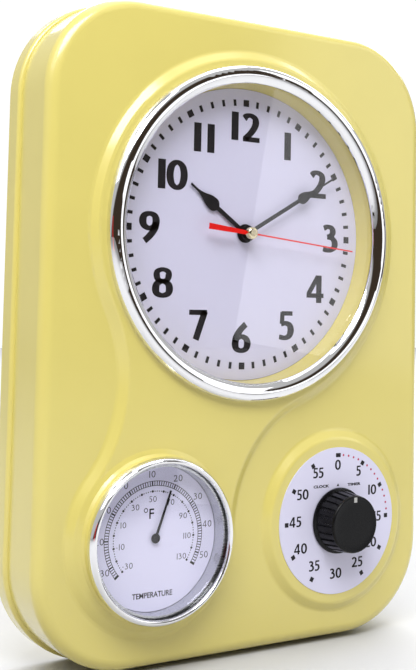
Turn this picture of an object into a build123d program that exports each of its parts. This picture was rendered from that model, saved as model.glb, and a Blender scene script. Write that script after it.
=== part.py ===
"""Kitchen wall clock with a dial thermometer and a 60-minute mechanical timer.

Frame: +X to the right as the clock is read, +Z up, and -Y out of the wall towards the reader.
The origin is the centre of the back face, on the wall. "Height" below means the distance out from
the wall, so a part at height h lies at y = -h. All sizes are in millimetres.
"""

import math
import os

from build123d import *

# ---------------------------------------------------------------- driving dimensions
FRONT_WIDTH, FRONT_HEIGHT = 238.0, 330.0  # outline of the front face
CORNER_RADIUS = 50.0
CASE_DEPTH = 42.0  # wall to the flat front face
WALL = 2.5  # moulded wall thickness
FRONT_ROUND = 6.0  # round between the front face and the sides
FLANGE_STEP = 2.0  # how far the rear band stands proud of the sides
FLANGE_DEPTH = 11.0
RELIEF = 3.0  # height of the raised panels on the front face
RELIEF_FLARE = 57.0  # slope of a raised panel's edge, in degrees from upright
RELIEF_ROUND = 3.0  # rounding at the top and the foot of that slope
FACE = CASE_DEPTH + RELIEF  # height of the raised panels' flat tops

CLOCK_Z = 50.5
CLOCK_PANEL_RADIUS = 96.0
DIAL_RADIUS = 77.6
DIAL_HEIGHT = 34.0  # printed face of the clock dial
BEZEL_OUTER, BEZEL_INNER = 88.0, 78.5
LENS_RADIUS = 81.4

THERMO_X, THERMO_Z = -56.5, -102.2
THERMO_PANEL_RADIUS = 48.5
THERMO_BEZEL_RADIUS = 40.3

TIMER_X, TIMER_Z = 57.0, -102.4
TIMER_PANEL_RADIUS = 48.5
TIMER_DIAL_RADIUS = 39.0
KNOB_BASE_RADIUS, KNOB_TOP_RADIUS = 17.5, 15.0
KNOB_FRONT = 60.5

RUNNING = 0.05  # radial clearance of a shaft in its bearing


# ---------------------------------------------------------------- shared helpers
def at(height, x=0.0, z=0.0):
    """A sketch plane parallel to the wall: local x is +X, local y is +Z, and extrusions go outwards."""
    return Plane((x, -height, z), x_dir=(1, 0, 0), z_dir=(0, -1, 0))


def section(x=0.0, z=0.0):
    """The plane of a turned part's half section: local x is the radius, local y the height."""
    return Plane((x, 0, z), x_dir=(1, 0, 0), z_dir=(0, 0, -1))


def spindle(x=0.0, z=0.0):
    """The axis of a turned part, square to the wall."""
    return Axis((x, 0, z), (0, -1, 0))


def disc(radius, low, high, x=0.0, z=0.0, mode=Mode.ADD):
    """A round boss, or a round hole with Mode.SUBTRACT, from one height to another."""
    with BuildSketch(at(low, x, z)) as outline:
        Circle(radius)
    extrude(outline.sketch, amount=high - low, mode=mode)


def block(width, tall, low, high, x=0.0, z=0.0, mode=Mode.ADD):
    """A rectangular block centred on x and z, from one height to another."""
    with BuildSketch(at(low, x, z)) as outline:
        Rectangle(width, tall)
    extrude(outline.sketch, amount=high - low, mode=mode)


def turn(points, x=0.0, z=0.0, mode=Mode.ADD):
    """A solid turned about the spindle at x and z from a closed outline of (radius, height) points."""
    with BuildSketch(section(x, z)) as outline:
        Polygon(*points, align=None)
    revolve(outline.sketch, axis=spindle(x, z), mode=mode)


def gear(teeth, module, low, high, x=0.0, z=0.0, phase=0.0, reach=0.8):
    """A spur gear with thin, tapering teeth, so that a meshing pair has backlash.

    The phase is the direction of one tooth's centre, in degrees from +X towards +Z.
    """
    pitch_radius = teeth * module / 2
    pitch_angle = math.tau / teeth
    corners = (
        (pitch_radius - 1.15 * module, -0.27),
        (pitch_radius, -0.19),
        (pitch_radius + reach * module, -0.09),
        (pitch_radius + reach * module, 0.09),
        (pitch_radius, 0.19),
        (pitch_radius - 1.15 * module, 0.27),
    )
    points = []
    for tooth in range(teeth):
        centre = tooth * pitch_angle + math.radians(phase)
        for radius, share in corners:
            angle = centre + share * pitch_angle
            points.append((radius * math.cos(angle), radius * math.sin(angle)))
    with BuildSketch(at(low, x, z)) as outline:
        Polygon(*points, align=None)
    extrude(outline.sketch, amount=high - low)


def spiral_strip(inner, outer, turns, thickness, low, high, x, z):
    """A flat strip wound in a spiral, such as a clock spring, seen end-on in the sketch."""
    steps = int(turns * 20)
    inside, outside = [], []
    for step in range(steps + 1):
        share = step / steps
        angle = share * turns * math.tau
        radius = inner + (outer - inner) * share
        inside.append((radius * math.cos(angle), radius * math.sin(angle)))
        outside.append(((radius + thickness) * math.cos(angle), (radius + thickness) * math.sin(angle)))
    with BuildSketch(at(low, x, z)) as outline:
        Polygon(*inside, *reversed(outside), align=None)
    extrude(outline.sketch, amount=high - low)


def save(builder, name):
    """Labels a finished piece and writes its STEP file."""
    builder.part.label = name
    export_step(builder.part, f"parts/{name}.step")


os.makedirs("parts", exist_ok=True)


# ---------------------------------------------------------------- case outlines
def case_outline(grow=0.0):
    """The case's rounded outline, grown outwards (or inwards when negative)."""
    RectangleRounded(FRONT_WIDTH + 2 * grow, FRONT_HEIGHT + 2 * grow, CORNER_RADIUS + grow)


# The clock and the thermometer share one raised panel: two circles joined by hollow arcs that
# touch both. The left arc's radius sets the waist, and the right one runs round the timer panel.
LEFT_HOLLOW = 75.0
RIGHT_HOLLOW = 66.0


def hollow_centre(radius, side):
    """The centre of an arc of this radius that touches both circles of the shared panel.

    Side is -1 for the arc left of the line from the clock to the thermometer, or 1 for the right.
    """
    clock, thermo = Vector(0, CLOCK_Z), Vector(THERMO_X, THERMO_Z)
    span = thermo - clock
    to_clock, to_thermo = CLOCK_PANEL_RADIUS + radius, THERMO_PANEL_RADIUS + radius
    along = (to_clock**2 - to_thermo**2 + span.length**2) / (2 * span.length)
    across = math.sqrt(to_clock**2 - along**2)
    unit = span.normalized()
    return clock + unit * along + Vector(-unit.Y, unit.X) * across * side


def shared_panel(inset=0.0):
    """The outline of the raised panel round the clock and the thermometer, moved inwards by inset."""
    left, right = hollow_centre(LEFT_HOLLOW, -1), hollow_centre(RIGHT_HOLLOW, 1)
    with Locations((0, CLOCK_Z)):
        Circle(CLOCK_PANEL_RADIUS - inset)
    with Locations((THERMO_X, THERMO_Z)):
        Circle(THERMO_PANEL_RADIUS - inset)
    corners = ((0, CLOCK_Z), (left.X, left.Y), (THERMO_X, THERMO_Z), (right.X, right.Y))
    Polygon(*corners, align=None)
    with Locations(left):
        Circle(LEFT_HOLLOW + inset, mode=Mode.SUBTRACT)
    with Locations(right):
        Circle(RIGHT_HOLLOW + inset, mode=Mode.SUBTRACT)


# ---------------------------------------------------------------- case
COVER_THICKNESS = 2.5
COVER_GAP = 0.2
SCREW_SPOTS = [(side * 103.0, z) for side in (-1, 1) for z in (-128.0, -30.0, 138.0)]
POST_RADIUS = 4.0
SCREW_SHANK, SCREW_HEAD = 1.45, 3.0
SHELF = 45.0  # where the clock glass and both bezels sit
DISH_OUTER, DISH_MOUTH = 82.2, 79.6
DISH_BACK, DISH_FLOOR = 30.5, 33.0  # back and front of the floor the dial lies on
NUT_SEAT = 31.6
BUSHING_RADIUS = 4.0
THERMO_HOLE = 36.4
THERMO_COLLAR_RADIUS, THERMO_SHELF = 39.4, 49.7  # the moulded collar that carries the thermometer
ARBOR_HOLE = 5.0
TIMER_FIXINGS = [(TIMER_X + dx, TIMER_Z + dz) for dx in (-25.0, 25.0) for dz in (-19.0, 19.0)]
TIMER_PLATE_HEIGHT = 35.5  # front of the timer movement's front plate
WINDOW = 62.0  # opening in the rear cover behind the movement



def is_relief_foot(edge):
    """True for an edge where a raised panel meets the flat front, away from the front's own rounding."""
    box = edge.bounding_box()
    flat = box.size.Y < 0.01 and abs(box.min.Y + CASE_DEPTH) < 0.01
    inside_x = max(abs(box.min.X), abs(box.max.X)) < FRONT_WIDTH / 2 - FRONT_ROUND - 0.5
    inside_z = max(abs(box.min.Z), abs(box.max.Z)) < FRONT_HEIGHT / 2 - FRONT_ROUND - 0.5
    return flat and inside_x and inside_z


with BuildPart() as front_case:
    with BuildSketch(at(0)):
        case_outline(FLANGE_STEP)
    extrude(amount=FLANGE_DEPTH)
    fillet(front_case.edges().group_by(Axis.Y)[0], FLANGE_STEP - 0.05)
    with BuildSketch(at(0)):
        case_outline()
    extrude(amount=CASE_DEPTH)
    fillet(front_case.edges().group_by(Axis.Y)[0], FRONT_ROUND)
    with BuildSketch(at(CASE_DEPTH)):
        shared_panel()
    extrude(amount=RELIEF, taper=RELIEF_FLARE)
    fillet(front_case.edges(Select.LAST).group_by(Axis.Y)[0], RELIEF_ROUND)
    with BuildSketch(at(CASE_DEPTH, TIMER_X, TIMER_Z)):
        Circle(TIMER_PANEL_RADIUS)
    extrude(amount=RELIEF, taper=RELIEF_FLARE)
    fillet(front_case.edges(Select.LAST).group_by(Axis.Y)[0], RELIEF_ROUND)
    fillet(front_case.edges().filter_by(is_relief_foot), RELIEF_ROUND)
    turn(
        [
            (THERMO_HOLE - 1, CASE_DEPTH),
            (THERMO_COLLAR_RADIUS + 4, CASE_DEPTH),
            (THERMO_COLLAR_RADIUS + 4, FACE),
            (THERMO_COLLAR_RADIUS + 1.7, FACE + 0.7),
            (THERMO_COLLAR_RADIUS + 0.5, FACE + 2.1),
            (THERMO_COLLAR_RADIUS, THERMO_SHELF),
            (THERMO_HOLE - 1, THERMO_SHELF),
        ],
        THERMO_X,
        THERMO_Z,
    )
    with BuildSketch(at(0)):
        case_outline(-WALL)
    extrude(amount=CASE_DEPTH - WALL, mode=Mode.SUBTRACT)
    with BuildSketch(at(CASE_DEPTH - WALL)):
        shared_panel(inset=8.0)
    extrude(amount=RELIEF, mode=Mode.SUBTRACT)
    disc(TIMER_PANEL_RADIUS - 8.0, CASE_DEPTH - WALL, FACE - WALL, TIMER_X, TIMER_Z, mode=Mode.SUBTRACT)
    disc(DISH_OUTER, DISH_BACK, FACE, 0, CLOCK_Z)
    turn(
        [
            (0, DISH_FLOOR),
            (DIAL_RADIUS, DISH_FLOOR),
            (DIAL_RADIUS, DIAL_HEIGHT),
            (DISH_MOUTH, FACE),
            (0, FACE),
        ],
        z=CLOCK_Z,
        mode=Mode.SUBTRACT,
    )
    disc(BUSHING_RADIUS + 0.1, DISH_BACK, DISH_FLOOR, 0, CLOCK_Z, mode=Mode.SUBTRACT)
    disc(6.5, NUT_SEAT, DISH_FLOOR, 0, CLOCK_Z, mode=Mode.SUBTRACT)
    turn([(83.3, 43.7), (84.7, 43.7), (84.7, 46), (83.3, 46)], z=CLOCK_Z, mode=Mode.SUBTRACT)
    disc(THERMO_HOLE, 40, THERMO_SHELF, THERMO_X, THERMO_Z, mode=Mode.SUBTRACT)
    disc(ARBOR_HOLE, 40, 46, TIMER_X, TIMER_Z, mode=Mode.SUBTRACT)
    for post_x, post_z in SCREW_SPOTS:
        disc(POST_RADIUS, COVER_THICKNESS, CASE_DEPTH - 1, post_x, post_z)
        disc(SCREW_SHANK + 0.05, COVER_THICKNESS, 15, post_x, post_z, mode=Mode.SUBTRACT)
    for post_x, post_z in TIMER_FIXINGS:
        disc(POST_RADIUS, TIMER_PLATE_HEIGHT, FACE - 1, post_x, post_z)
        disc(1.3, TIMER_PLATE_HEIGHT, 42, post_x, post_z, mode=Mode.SUBTRACT)
save(front_case, "front_case")

KEYHOLE_Z = 136.0
KEYHOLE_RADIUS, KEYHOLE_SLOT = 5.0, 2.5

with BuildPart() as rear_cover:
    with BuildSketch(at(0)):
        case_outline(-WALL - COVER_GAP)
        with Locations((0, CLOCK_Z)):
            Rectangle(WINDOW, WINDOW, mode=Mode.SUBTRACT)
        with Locations((0, KEYHOLE_Z)):
            Circle(KEYHOLE_RADIUS, mode=Mode.SUBTRACT)
        with Locations((0, KEYHOLE_Z + 5)):
            Rectangle(2 * KEYHOLE_SLOT, 10, mode=Mode.SUBTRACT)
        with Locations((0, KEYHOLE_Z + 10)):
            Circle(KEYHOLE_SLOT, mode=Mode.SUBTRACT)
        with GridLocations(0, 7, 1, 5):
            with Locations((TIMER_X, TIMER_Z)):
                SlotOverall(34, 3, mode=Mode.SUBTRACT)
            with Locations((THERMO_X, THERMO_Z)):
                SlotOverall(34, 3, mode=Mode.SUBTRACT)
        with Locations(SCREW_SPOTS):
            Circle(SCREW_SHANK + 0.2, mode=Mode.SUBTRACT)
    extrude(amount=COVER_THICKNESS)
    for spot_x, spot_z in SCREW_SPOTS:
        disc(SCREW_HEAD + 0.3, 0, 1.3, spot_x, spot_z, mode=Mode.SUBTRACT)
    with BuildSketch(at(COVER_THICKNESS, 0, CLOCK_Z)):
        Rectangle(WINDOW + 5, WINDOW + 5)
        Rectangle(WINDOW, WINDOW, mode=Mode.SUBTRACT)
    extrude(amount=8)
save(rear_cover, "rear_cover")

with BuildPart() as hanger_plate:
    with BuildSketch(at(COVER_THICKNESS, 0, KEYHOLE_Z + 5)):
        RectangleRounded(30, 34, 3)
        with Locations((0, -5)):
            Circle(KEYHOLE_RADIUS + 0.5, mode=Mode.SUBTRACT)
        Rectangle(2 * KEYHOLE_SLOT - 0.6, 10, mode=Mode.SUBTRACT)
        with Locations((0, 5)):
            Circle(KEYHOLE_SLOT - 0.3, mode=Mode.SUBTRACT)
    extrude(amount=1.2)
save(hanger_plate, "hanger_plate")


def pan_screw(x, z, seat, length, shank, head, head_height):
    """A round-headed screw driven outwards from its seat, with a cross slot in its head."""
    disc(shank, seat, seat + length, x, z)
    disc(head, seat - head_height, seat, x, z)
    block(0.6, head * 1.3, seat - head_height, seat - head_height / 2, x, z, mode=Mode.SUBTRACT)
    block(head * 1.3, 0.6, seat - head_height, seat - head_height / 2, x, z, mode=Mode.SUBTRACT)


with BuildPart() as case_screws:
    for spot_x, spot_z in SCREW_SPOTS:
        pan_screw(spot_x, spot_z, 1.3, 12, SCREW_SHANK, SCREW_HEAD, 1.2)
save(case_screws, "case_screws")

# ---------------------------------------------------------------- clock glass and dial
BEZEL_LIP = 46.7  # underside of the bezel's lip, over the glass

with BuildPart() as clock_bezel:
    with BuildSketch(section(z=CLOCK_Z)):
        with BuildLine():
            Polyline(
                (BEZEL_INNER, 47.6),
                (BEZEL_INNER, BEZEL_LIP),
                (LENS_RADIUS + 0.1, BEZEL_LIP),
                (LENS_RADIUS + 0.1, SHELF),
                (83.4, SHELF),
                (83.4, 43.8),
                (84.6, 43.8),
                (84.6, SHELF),
                (BEZEL_OUTER, SHELF),
                (BEZEL_OUTER, 46.4),
            )
            ThreePointArc((BEZEL_OUTER, 46.4), (86.7, 49.2), (83.7, 50.2))
            ThreePointArc((83.7, 50.2), (80.6, 49.5), (BEZEL_INNER, 47.6))
        make_face()
    revolve(axis=spindle(z=CLOCK_Z))
save(clock_bezel, "clock_bezel")

with BuildPart() as clock_lens:
    disc(LENS_RADIUS, SHELF, SHELF + 1.6, 0, CLOCK_Z)
save(clock_lens, "clock_lens")

with BuildPart() as clock_dial:
    disc(DIAL_RADIUS - 0.2, DISH_FLOOR, DIAL_HEIGHT, 0, CLOCK_Z)
    disc(BUSHING_RADIUS + 0.1, DISH_FLOOR, DIAL_HEIGHT, 0, CLOCK_Z, mode=Mode.SUBTRACT)
save(clock_dial, "clock_dial")

# ---------------------------------------------------------------- quartz movement
BOX = 56.0
BOX_BACK, BOX_FRONT = 13.5, 29.5
BOX_WALL = 1.5
BAY_TOP = -11.0  # top of the battery bay, from the clock centre
BATTERY_Z, BATTERY_HEIGHT, BATTERY_RADIUS = -19.4, 20.2, 7.0
HOUR_PIPE, MINUTE_PIPE, SECOND_SHAFT = 2.5, 1.55, 0.6

TRAIN_MODULE_SECOND, TRAIN_MODULE_THIRD = 0.24 * 90 / 85, 0.24
THIRD_DISTANCE = 90 * TRAIN_MODULE_THIRD / 2
THIRD_ANGLE = 30.0
MOTION_MODULE_CANNON, MOTION_MODULE_HOUR = 0.36 * 50 / 56, 0.36
MINUTE_WHEEL_DISTANCE = 50 * MOTION_MODULE_HOUR / 2
SETTING_DISTANCE = (42 + 21) * MOTION_MODULE_CANNON / 2
FAST_MODULE = 0.25


def away(x, z, distance, angle):
    """The point at this distance from x and z, at an angle in degrees from +X towards +Z."""
    return x + distance * math.cos(math.radians(angle)), z + distance * math.sin(math.radians(angle))


THIRD_AXIS = away(0, CLOCK_Z, THIRD_DISTANCE, THIRD_ANGLE)
FOURTH_AXIS = away(0, CLOCK_Z, 70 * FAST_MODULE / 2, 120)
ROTOR_AXIS = away(*FOURTH_AXIS, 60 * FAST_MODULE / 2, 165)
MINUTE_WHEEL_AXIS = away(0, CLOCK_Z, MINUTE_WHEEL_DISTANCE, 180)
SETTING_AXIS = away(*MINUTE_WHEEL_AXIS, SETTING_DISTANCE, 160)
BRIDGE_BACK, BRIDGE_FRONT = 20.9, 21.7
BRIDGE_POSTS = [(x, CLOCK_Z + z) for x in (-24.0, 24.0) for z in (-7.5, 15.0)]


def meshing_phase(teeth, angle, partner_teeth, partner_phase):
    """The phase that meshes a gear with a partner whose axis lies at this angle from it.

    The partner's tooth nearest the line between the axes is some way round from it. This gear's
    gap is turned the other way by the same arc, so that the tooth stands in the gap's middle.
    """
    pitch = 360 / partner_teeth
    offset = (partner_phase - angle - 180 + pitch / 2) % pitch - pitch / 2
    return angle - offset * partner_teeth / teeth + 180 / teeth


with BuildPart() as movement_housing:
    block(BOX, BOX, BOX_BACK, BOX_FRONT, 0, CLOCK_Z)
    block(BOX - 2 * BOX_WALL, 37.5, BOX_BACK, BOX_FRONT - 2, 0, CLOCK_Z + 7.75, mode=Mode.SUBTRACT)
    block(BOX - 2 * BOX_WALL, 14.6, BOX_BACK, BOX_FRONT - 2, 0, CLOCK_Z + BATTERY_Z, mode=Mode.SUBTRACT)
    disc(BUSHING_RADIUS, BOX_FRONT, 33.9, 0, CLOCK_Z)
    disc(HOUR_PIPE + RUNNING, BOX_FRONT - 2, 33.9, 0, CLOCK_Z, mode=Mode.SUBTRACT)
    disc(0.7, 24.3, BOX_FRONT - 2, *MINUTE_WHEEL_AXIS)
    disc(1.6, 25.8, BOX_FRONT - 2, *THIRD_AXIS)
    disc(0.5 + RUNNING, 25.8, BOX_FRONT - 1, *THIRD_AXIS, mode=Mode.SUBTRACT)
    disc(2.2, 26.0, BOX_FRONT - 2, *SETTING_AXIS)
    disc(1.0 + RUNNING, 26.0, BOX_FRONT - 1, *SETTING_AXIS, mode=Mode.SUBTRACT)
    for post_x, post_z in BRIDGE_POSTS:
        disc(1.5, BRIDGE_FRONT, BOX_FRONT - 2, post_x, post_z)
save(movement_housing, "movement_housing")

with BuildPart() as movement_cover:
    block(BOX - 2 * BOX_WALL - 0.2, 37.3, BOX_BACK, 15, 0, CLOCK_Z + 7.75)
    for axis_x, axis_z in ((0, CLOCK_Z), THIRD_AXIS, FOURTH_AXIS, ROTOR_AXIS):
        disc(0.5 + RUNNING, 14, 15, axis_x, axis_z, mode=Mode.SUBTRACT)
    disc(1.0 + RUNNING, BOX_BACK, 15, *SETTING_AXIS, mode=Mode.SUBTRACT)
save(movement_cover, "movement_cover")

with BuildPart() as train_bridge:
    block(51, 27, BRIDGE_BACK, BRIDGE_FRONT, 0, CLOCK_Z + 4)
    disc(SECOND_SHAFT + RUNNING, BRIDGE_BACK, BRIDGE_FRONT, 0, CLOCK_Z, mode=Mode.SUBTRACT)
    disc(0.9, BRIDGE_BACK, BRIDGE_FRONT, *THIRD_AXIS, mode=Mode.SUBTRACT)
    disc(1.3, BRIDGE_BACK, BRIDGE_FRONT, *SETTING_AXIS, mode=Mode.SUBTRACT)
    for axis_x, axis_z in (FOURTH_AXIS, ROTOR_AXIS):
        disc(0.5 + RUNNING, BRIDGE_BACK, BRIDGE_FRONT, axis_x, axis_z, mode=Mode.SUBTRACT)
save(train_bridge, "train_bridge")

with BuildPart() as battery:
    with BuildSketch(Plane((-24.5, -BATTERY_HEIGHT, CLOCK_Z + BATTERY_Z), z_dir=(1, 0, 0))):
        Circle(BATTERY_RADIUS)
    extrude(amount=49)
    fillet(battery.edges(), 0.6)
    with BuildSketch(Plane((24.5, -BATTERY_HEIGHT, CLOCK_Z + BATTERY_Z), z_dir=(1, 0, 0))):
        Circle(2.7)
    extrude(amount=1.0)
save(battery, "battery")

with BuildPart() as battery_contacts:
    for side in (-1, 1):
        with BuildSketch(Plane((side * 26.5, -BATTERY_HEIGHT, CLOCK_Z + BATTERY_Z), z_dir=(-side, 0, 0))):
            Rectangle(10, 12)
        extrude(amount=0.4)
    with BuildSketch(Plane((-26.1, -BATTERY_HEIGHT, CLOCK_Z + BATTERY_Z), z_dir=(1, 0, 0))):
        Circle(3.5)
    extrude(amount=1.3, taper=25)
    with BuildSketch(Plane((26.1, -BATTERY_HEIGHT, CLOCK_Z + BATTERY_Z), z_dir=(-1, 0, 0))):
        Circle(2)
    extrude(amount=0.3)
save(battery_contacts, "battery_contacts")

with BuildPart() as circuit_board:
    block(17, 9, 17, 17.8, 17.5, CLOCK_Z + 21.5)
    block(4, 4, 17.8, 18.8, 13, CLOCK_Z + 21)
save(circuit_board, "circuit_board")

with BuildPart() as quartz_crystal:
    with BuildSketch(Plane((18, -18.9, CLOCK_Z + 21), z_dir=(1, 0, 0))):
        Circle(1)
    extrude(amount=6)
save(quartz_crystal, "quartz_crystal")

ROTOR_X, ROTOR_Z = ROTOR_AXIS
CORE_Z = CLOCK_Z + 22
with BuildPart() as stator:
    with BuildSketch(at(18.0)):
        with Locations((-7, CORE_Z)):
            Rectangle(30, 2)
        with Locations(ROTOR_AXIS):
            Circle(5)
        Polygon(
            (ROTOR_X - 4.8, ROTOR_Z - 1),
            (-22, CORE_Z - 8),
            (-22, CORE_Z),
            (-17.5, CORE_Z),
            (-17.5, CORE_Z - 6),
            (ROTOR_X, ROTOR_Z + 4),
            align=None,
        )
        Polygon(
            (ROTOR_X + 4.8, ROTOR_Z + 1),
            (ROTOR_X, ROTOR_Z + 4.5),
            (2.5, CORE_Z - 4.5),
            (2.5, CORE_Z),
            (8, CORE_Z),
            (8, CORE_Z - 6),
            align=None,
        )
        with Locations(ROTOR_AXIS):
            Circle(3.2, mode=Mode.SUBTRACT)
    extrude(amount=0.8)
save(stator, "stator")

with BuildPart() as coil:
    with BuildSketch(Plane((-14, -18.4, CORE_Z), z_dir=(1, 0, 0))):
        Circle(3)
        Circle(1.4, mode=Mode.SUBTRACT)
    extrude(amount=14)
save(coil, "coil")

with BuildPart() as rotor:
    disc(0.5, 14.1, 21.6, *ROTOR_AXIS)
    disc(2.6, 17.6, 20.4, *ROTOR_AXIS)
    gear(10, FAST_MODULE, 15.5, 16.9, *ROTOR_AXIS, phase=165 + 180)
save(rotor, "rotor")

with BuildPart() as fourth_wheel:
    disc(0.5, 14.1, 21.6, *FOURTH_AXIS)
    gear(50, FAST_MODULE, 15.8, 16.6, *FOURTH_AXIS, phase=meshing_phase(50, 165, 10, 345))
    gear(10, FAST_MODULE, 17.0, 18.3, *FOURTH_AXIS, phase=120 + 180)
save(fourth_wheel, "fourth_wheel")

with BuildPart() as second_wheel:
    disc(0.5, 14.1, 15.5, 0, CLOCK_Z)
    disc(SECOND_SHAFT, 15.4, 40.6, 0, CLOCK_Z)
    gear(60, FAST_MODULE, 17.3, 18.1, 0, CLOCK_Z, phase=meshing_phase(60, 120, 10, 300))
    gear(10, TRAIN_MODULE_SECOND, 19.2, 20.7, 0, CLOCK_Z, phase=THIRD_ANGLE)
save(second_wheel, "second_wheel")

with BuildPart() as third_wheel:
    disc(0.5, 14.1, 28.3, *THIRD_AXIS)
    tooth_phase = meshing_phase(75, THIRD_ANGLE + 180, 10, THIRD_ANGLE)
    gear(75, TRAIN_MODULE_SECOND, 19.5, 20.3, *THIRD_AXIS, phase=tooth_phase)
    gear(10, TRAIN_MODULE_THIRD, 22.2, 23.8, *THIRD_AXIS, phase=THIRD_ANGLE + 180)
save(third_wheel, "third_wheel")

with BuildPart() as centre_wheel:
    tooth_phase = meshing_phase(80, THIRD_ANGLE, 10, THIRD_ANGLE + 180)
    gear(80, TRAIN_MODULE_THIRD, 22.6, 23.4, 0, CLOCK_Z, phase=tooth_phase)
    disc(3, 22.4, 24.1, 0, CLOCK_Z)
    disc(MINUTE_PIPE + RUNNING, 22.4, 24.1, 0, CLOCK_Z, mode=Mode.SUBTRACT)
save(centre_wheel, "centre_wheel")

with BuildPart() as cannon_pinion:
    gear(14, MOTION_MODULE_CANNON, 24.3, 25.9, 0, CLOCK_Z, phase=180)
    disc(MINUTE_PIPE, 22.0, 38.4, 0, CLOCK_Z)
    disc(SECOND_SHAFT + RUNNING, 22.0, 38.4, 0, CLOCK_Z, mode=Mode.SUBTRACT)
save(cannon_pinion, "cannon_pinion")

MINUTE_WHEEL_PHASE = meshing_phase(42, 0, 14, 180)

with BuildPart() as minute_wheel:
    gear(42, MOTION_MODULE_CANNON, 24.6, 25.5, *MINUTE_WHEEL_AXIS, phase=MINUTE_WHEEL_PHASE)
    gear(10, MOTION_MODULE_HOUR, 25.5, 27.3, *MINUTE_WHEEL_AXIS, phase=0)
    disc(0.7 + RUNNING, 24.6, 27.3, *MINUTE_WHEEL_AXIS, mode=Mode.SUBTRACT)
save(minute_wheel, "minute_wheel")

with BuildPart() as hour_wheel:
    gear(40, MOTION_MODULE_HOUR, 26.2, 27.2, 0, CLOCK_Z, phase=meshing_phase(40, 180, 10, 0))
    disc(HOUR_PIPE, 26.2, 35.7, 0, CLOCK_Z)
    disc(MINUTE_PIPE + RUNNING, 26.2, 35.7, 0, CLOCK_Z, mode=Mode.SUBTRACT)
save(hour_wheel, "hour_wheel")

with BuildPart() as setting_knob:
    tooth_phase = meshing_phase(21, 160 + 180, 42, MINUTE_WHEEL_PHASE)
    gear(21, MOTION_MODULE_CANNON, 24.6, 25.5, *SETTING_AXIS, phase=tooth_phase)
    disc(1.0, 11, 28.3, *SETTING_AXIS)
    disc(4.5, 10.0, 13.1, *SETTING_AXIS)
    with BuildSketch(at(10.0, *SETTING_AXIS)):
        with PolarLocations(4.6, 18):
            Circle(0.4)
    extrude(amount=3.1, mode=Mode.SUBTRACT)
save(setting_knob, "setting_knob")

with BuildPart() as rubber_washer:
    disc(9, BOX_FRONT, DISH_BACK, 0, CLOCK_Z)
    disc(BUSHING_RADIUS, BOX_FRONT, DISH_BACK, 0, CLOCK_Z, mode=Mode.SUBTRACT)
save(rubber_washer, "rubber_washer")

with BuildPart() as fixing_nut:
    with BuildSketch(at(NUT_SEAT, 0, CLOCK_Z)):
        RegularPolygon(5.0, 6, major_radius=False)
        Circle(BUSHING_RADIUS, mode=Mode.SUBTRACT)
    extrude(amount=DISH_FLOOR - NUT_SEAT)
save(fixing_nut, "fixing_nut")

# ---------------------------------------------------------------- hands
HOUR_ANGLE, MINUTE_ANGLE, SECOND_ANGLE = 305.0, 59.7, 95.5  # clockwise from twelve
CAP_RADIUS = 3.2


def hand_plane(height, angle):
    """A plane at this height on the clock's axis, its local y pointing along a hand at this angle."""
    turned = math.radians(angle)
    return Plane((0, -height, CLOCK_Z), x_dir=(math.cos(turned), 0, -math.sin(turned)), z_dir=(0, -1, 0))


def spade_outline(length, stem, belly, belly_at, tip):
    """A pear-shaped hand: a straight stem, a round belly and a hollow taper to a blunt tip."""
    with BuildLine() as edge:
        Spline(
            (-belly * 0.97, belly_at + belly * 0.25),
            (-belly * 0.55, belly_at + belly * 1.75),
            (-tip, length * 0.9),
            tangents=((0, 1), (0.02, 1)),
        )
        Line((-tip, length * 0.9), (-tip, length))
        Line((-tip, length), (tip, length))
        Line((tip, length), (tip, length * 0.9))
        Spline(
            (tip, length * 0.9),
            (belly * 0.55, belly_at + belly * 1.75),
            (belly * 0.97, belly_at + belly * 0.25),
            tangents=((0.02, -1), (0, -1)),
        )
        Line((belly * 0.97, belly_at + belly * 0.25), (-belly * 0.97, belly_at + belly * 0.25))
    make_face(edge.edges())
    with Locations((0, belly_at)):
        Circle(belly)
    with Locations((0, belly_at / 2)):
        Rectangle(2 * stem, belly_at)


with BuildPart() as hour_hand:
    with BuildSketch(hand_plane(35.0, HOUR_ANGLE)):
        spade_outline(42, 1.15, 3.6, 25.0, 0.55)
        Circle(5.0)
        Circle(HOUR_PIPE, mode=Mode.SUBTRACT)
    extrude(amount=0.5)
save(hour_hand, "hour_hand")

with BuildPart() as minute_hand:
    with BuildSketch(hand_plane(37.7, MINUTE_ANGLE)):
        spade_outline(67, 1.05, 3.0, 41.5, 0.5)
        Circle(4.2)
        Circle(MINUTE_PIPE, mode=Mode.SUBTRACT)
    extrude(amount=0.5)
save(minute_hand, "minute_hand")

with BuildPart() as second_hand:
    with BuildSketch(hand_plane(39.9, SECOND_ANGLE)):
        half = [(1.6, -26), (1.0, 0), (0.4, 6), (0.35, 70)]
        Polygon(*half, *[(-across, along) for across, along in reversed(half)], align=None)
        Circle(2.2)
        Circle(SECOND_SHAFT, mode=Mode.SUBTRACT)
    extrude(amount=0.35)
save(second_hand, "second_hand")

with BuildPart() as centre_cap:
    disc(CAP_RADIUS, 40.25, 43.4, 0, CLOCK_Z)
    fillet(centre_cap.edges().group_by(Axis.Y)[0], 1.4)
    disc(SECOND_SHAFT, 40.25, 40.6, 0, CLOCK_Z, mode=Mode.SUBTRACT)
save(centre_cap, "centre_cap")

# ---------------------------------------------------------------- thermometer
CAN_RADIUS, CAN_INNER = 36.0, 35.4
CAN_BACK, CAN_FLANGE = 26.0, 51.0
THERMO_DIAL_HEIGHT = 43.4
DIAL_PLATE = 0.6
DIAL_BACK = THERMO_DIAL_HEIGHT - DIAL_PLATE
THERMO_LENS_RADIUS = 38.6
GLASS_EDGE, GLASS_TOP, GLASS = 51.6, 57.4, 1.5
POINTER_ANGLE = 20.0  # clockwise from the top, about 65 degrees Fahrenheit
THERMO_ARBOR = 0.75


def dome_radius(rim, rise):
    """The sphere radius of a dome with this rim radius and rise."""
    return (rim**2 + rise**2) / (2 * rise)


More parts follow.
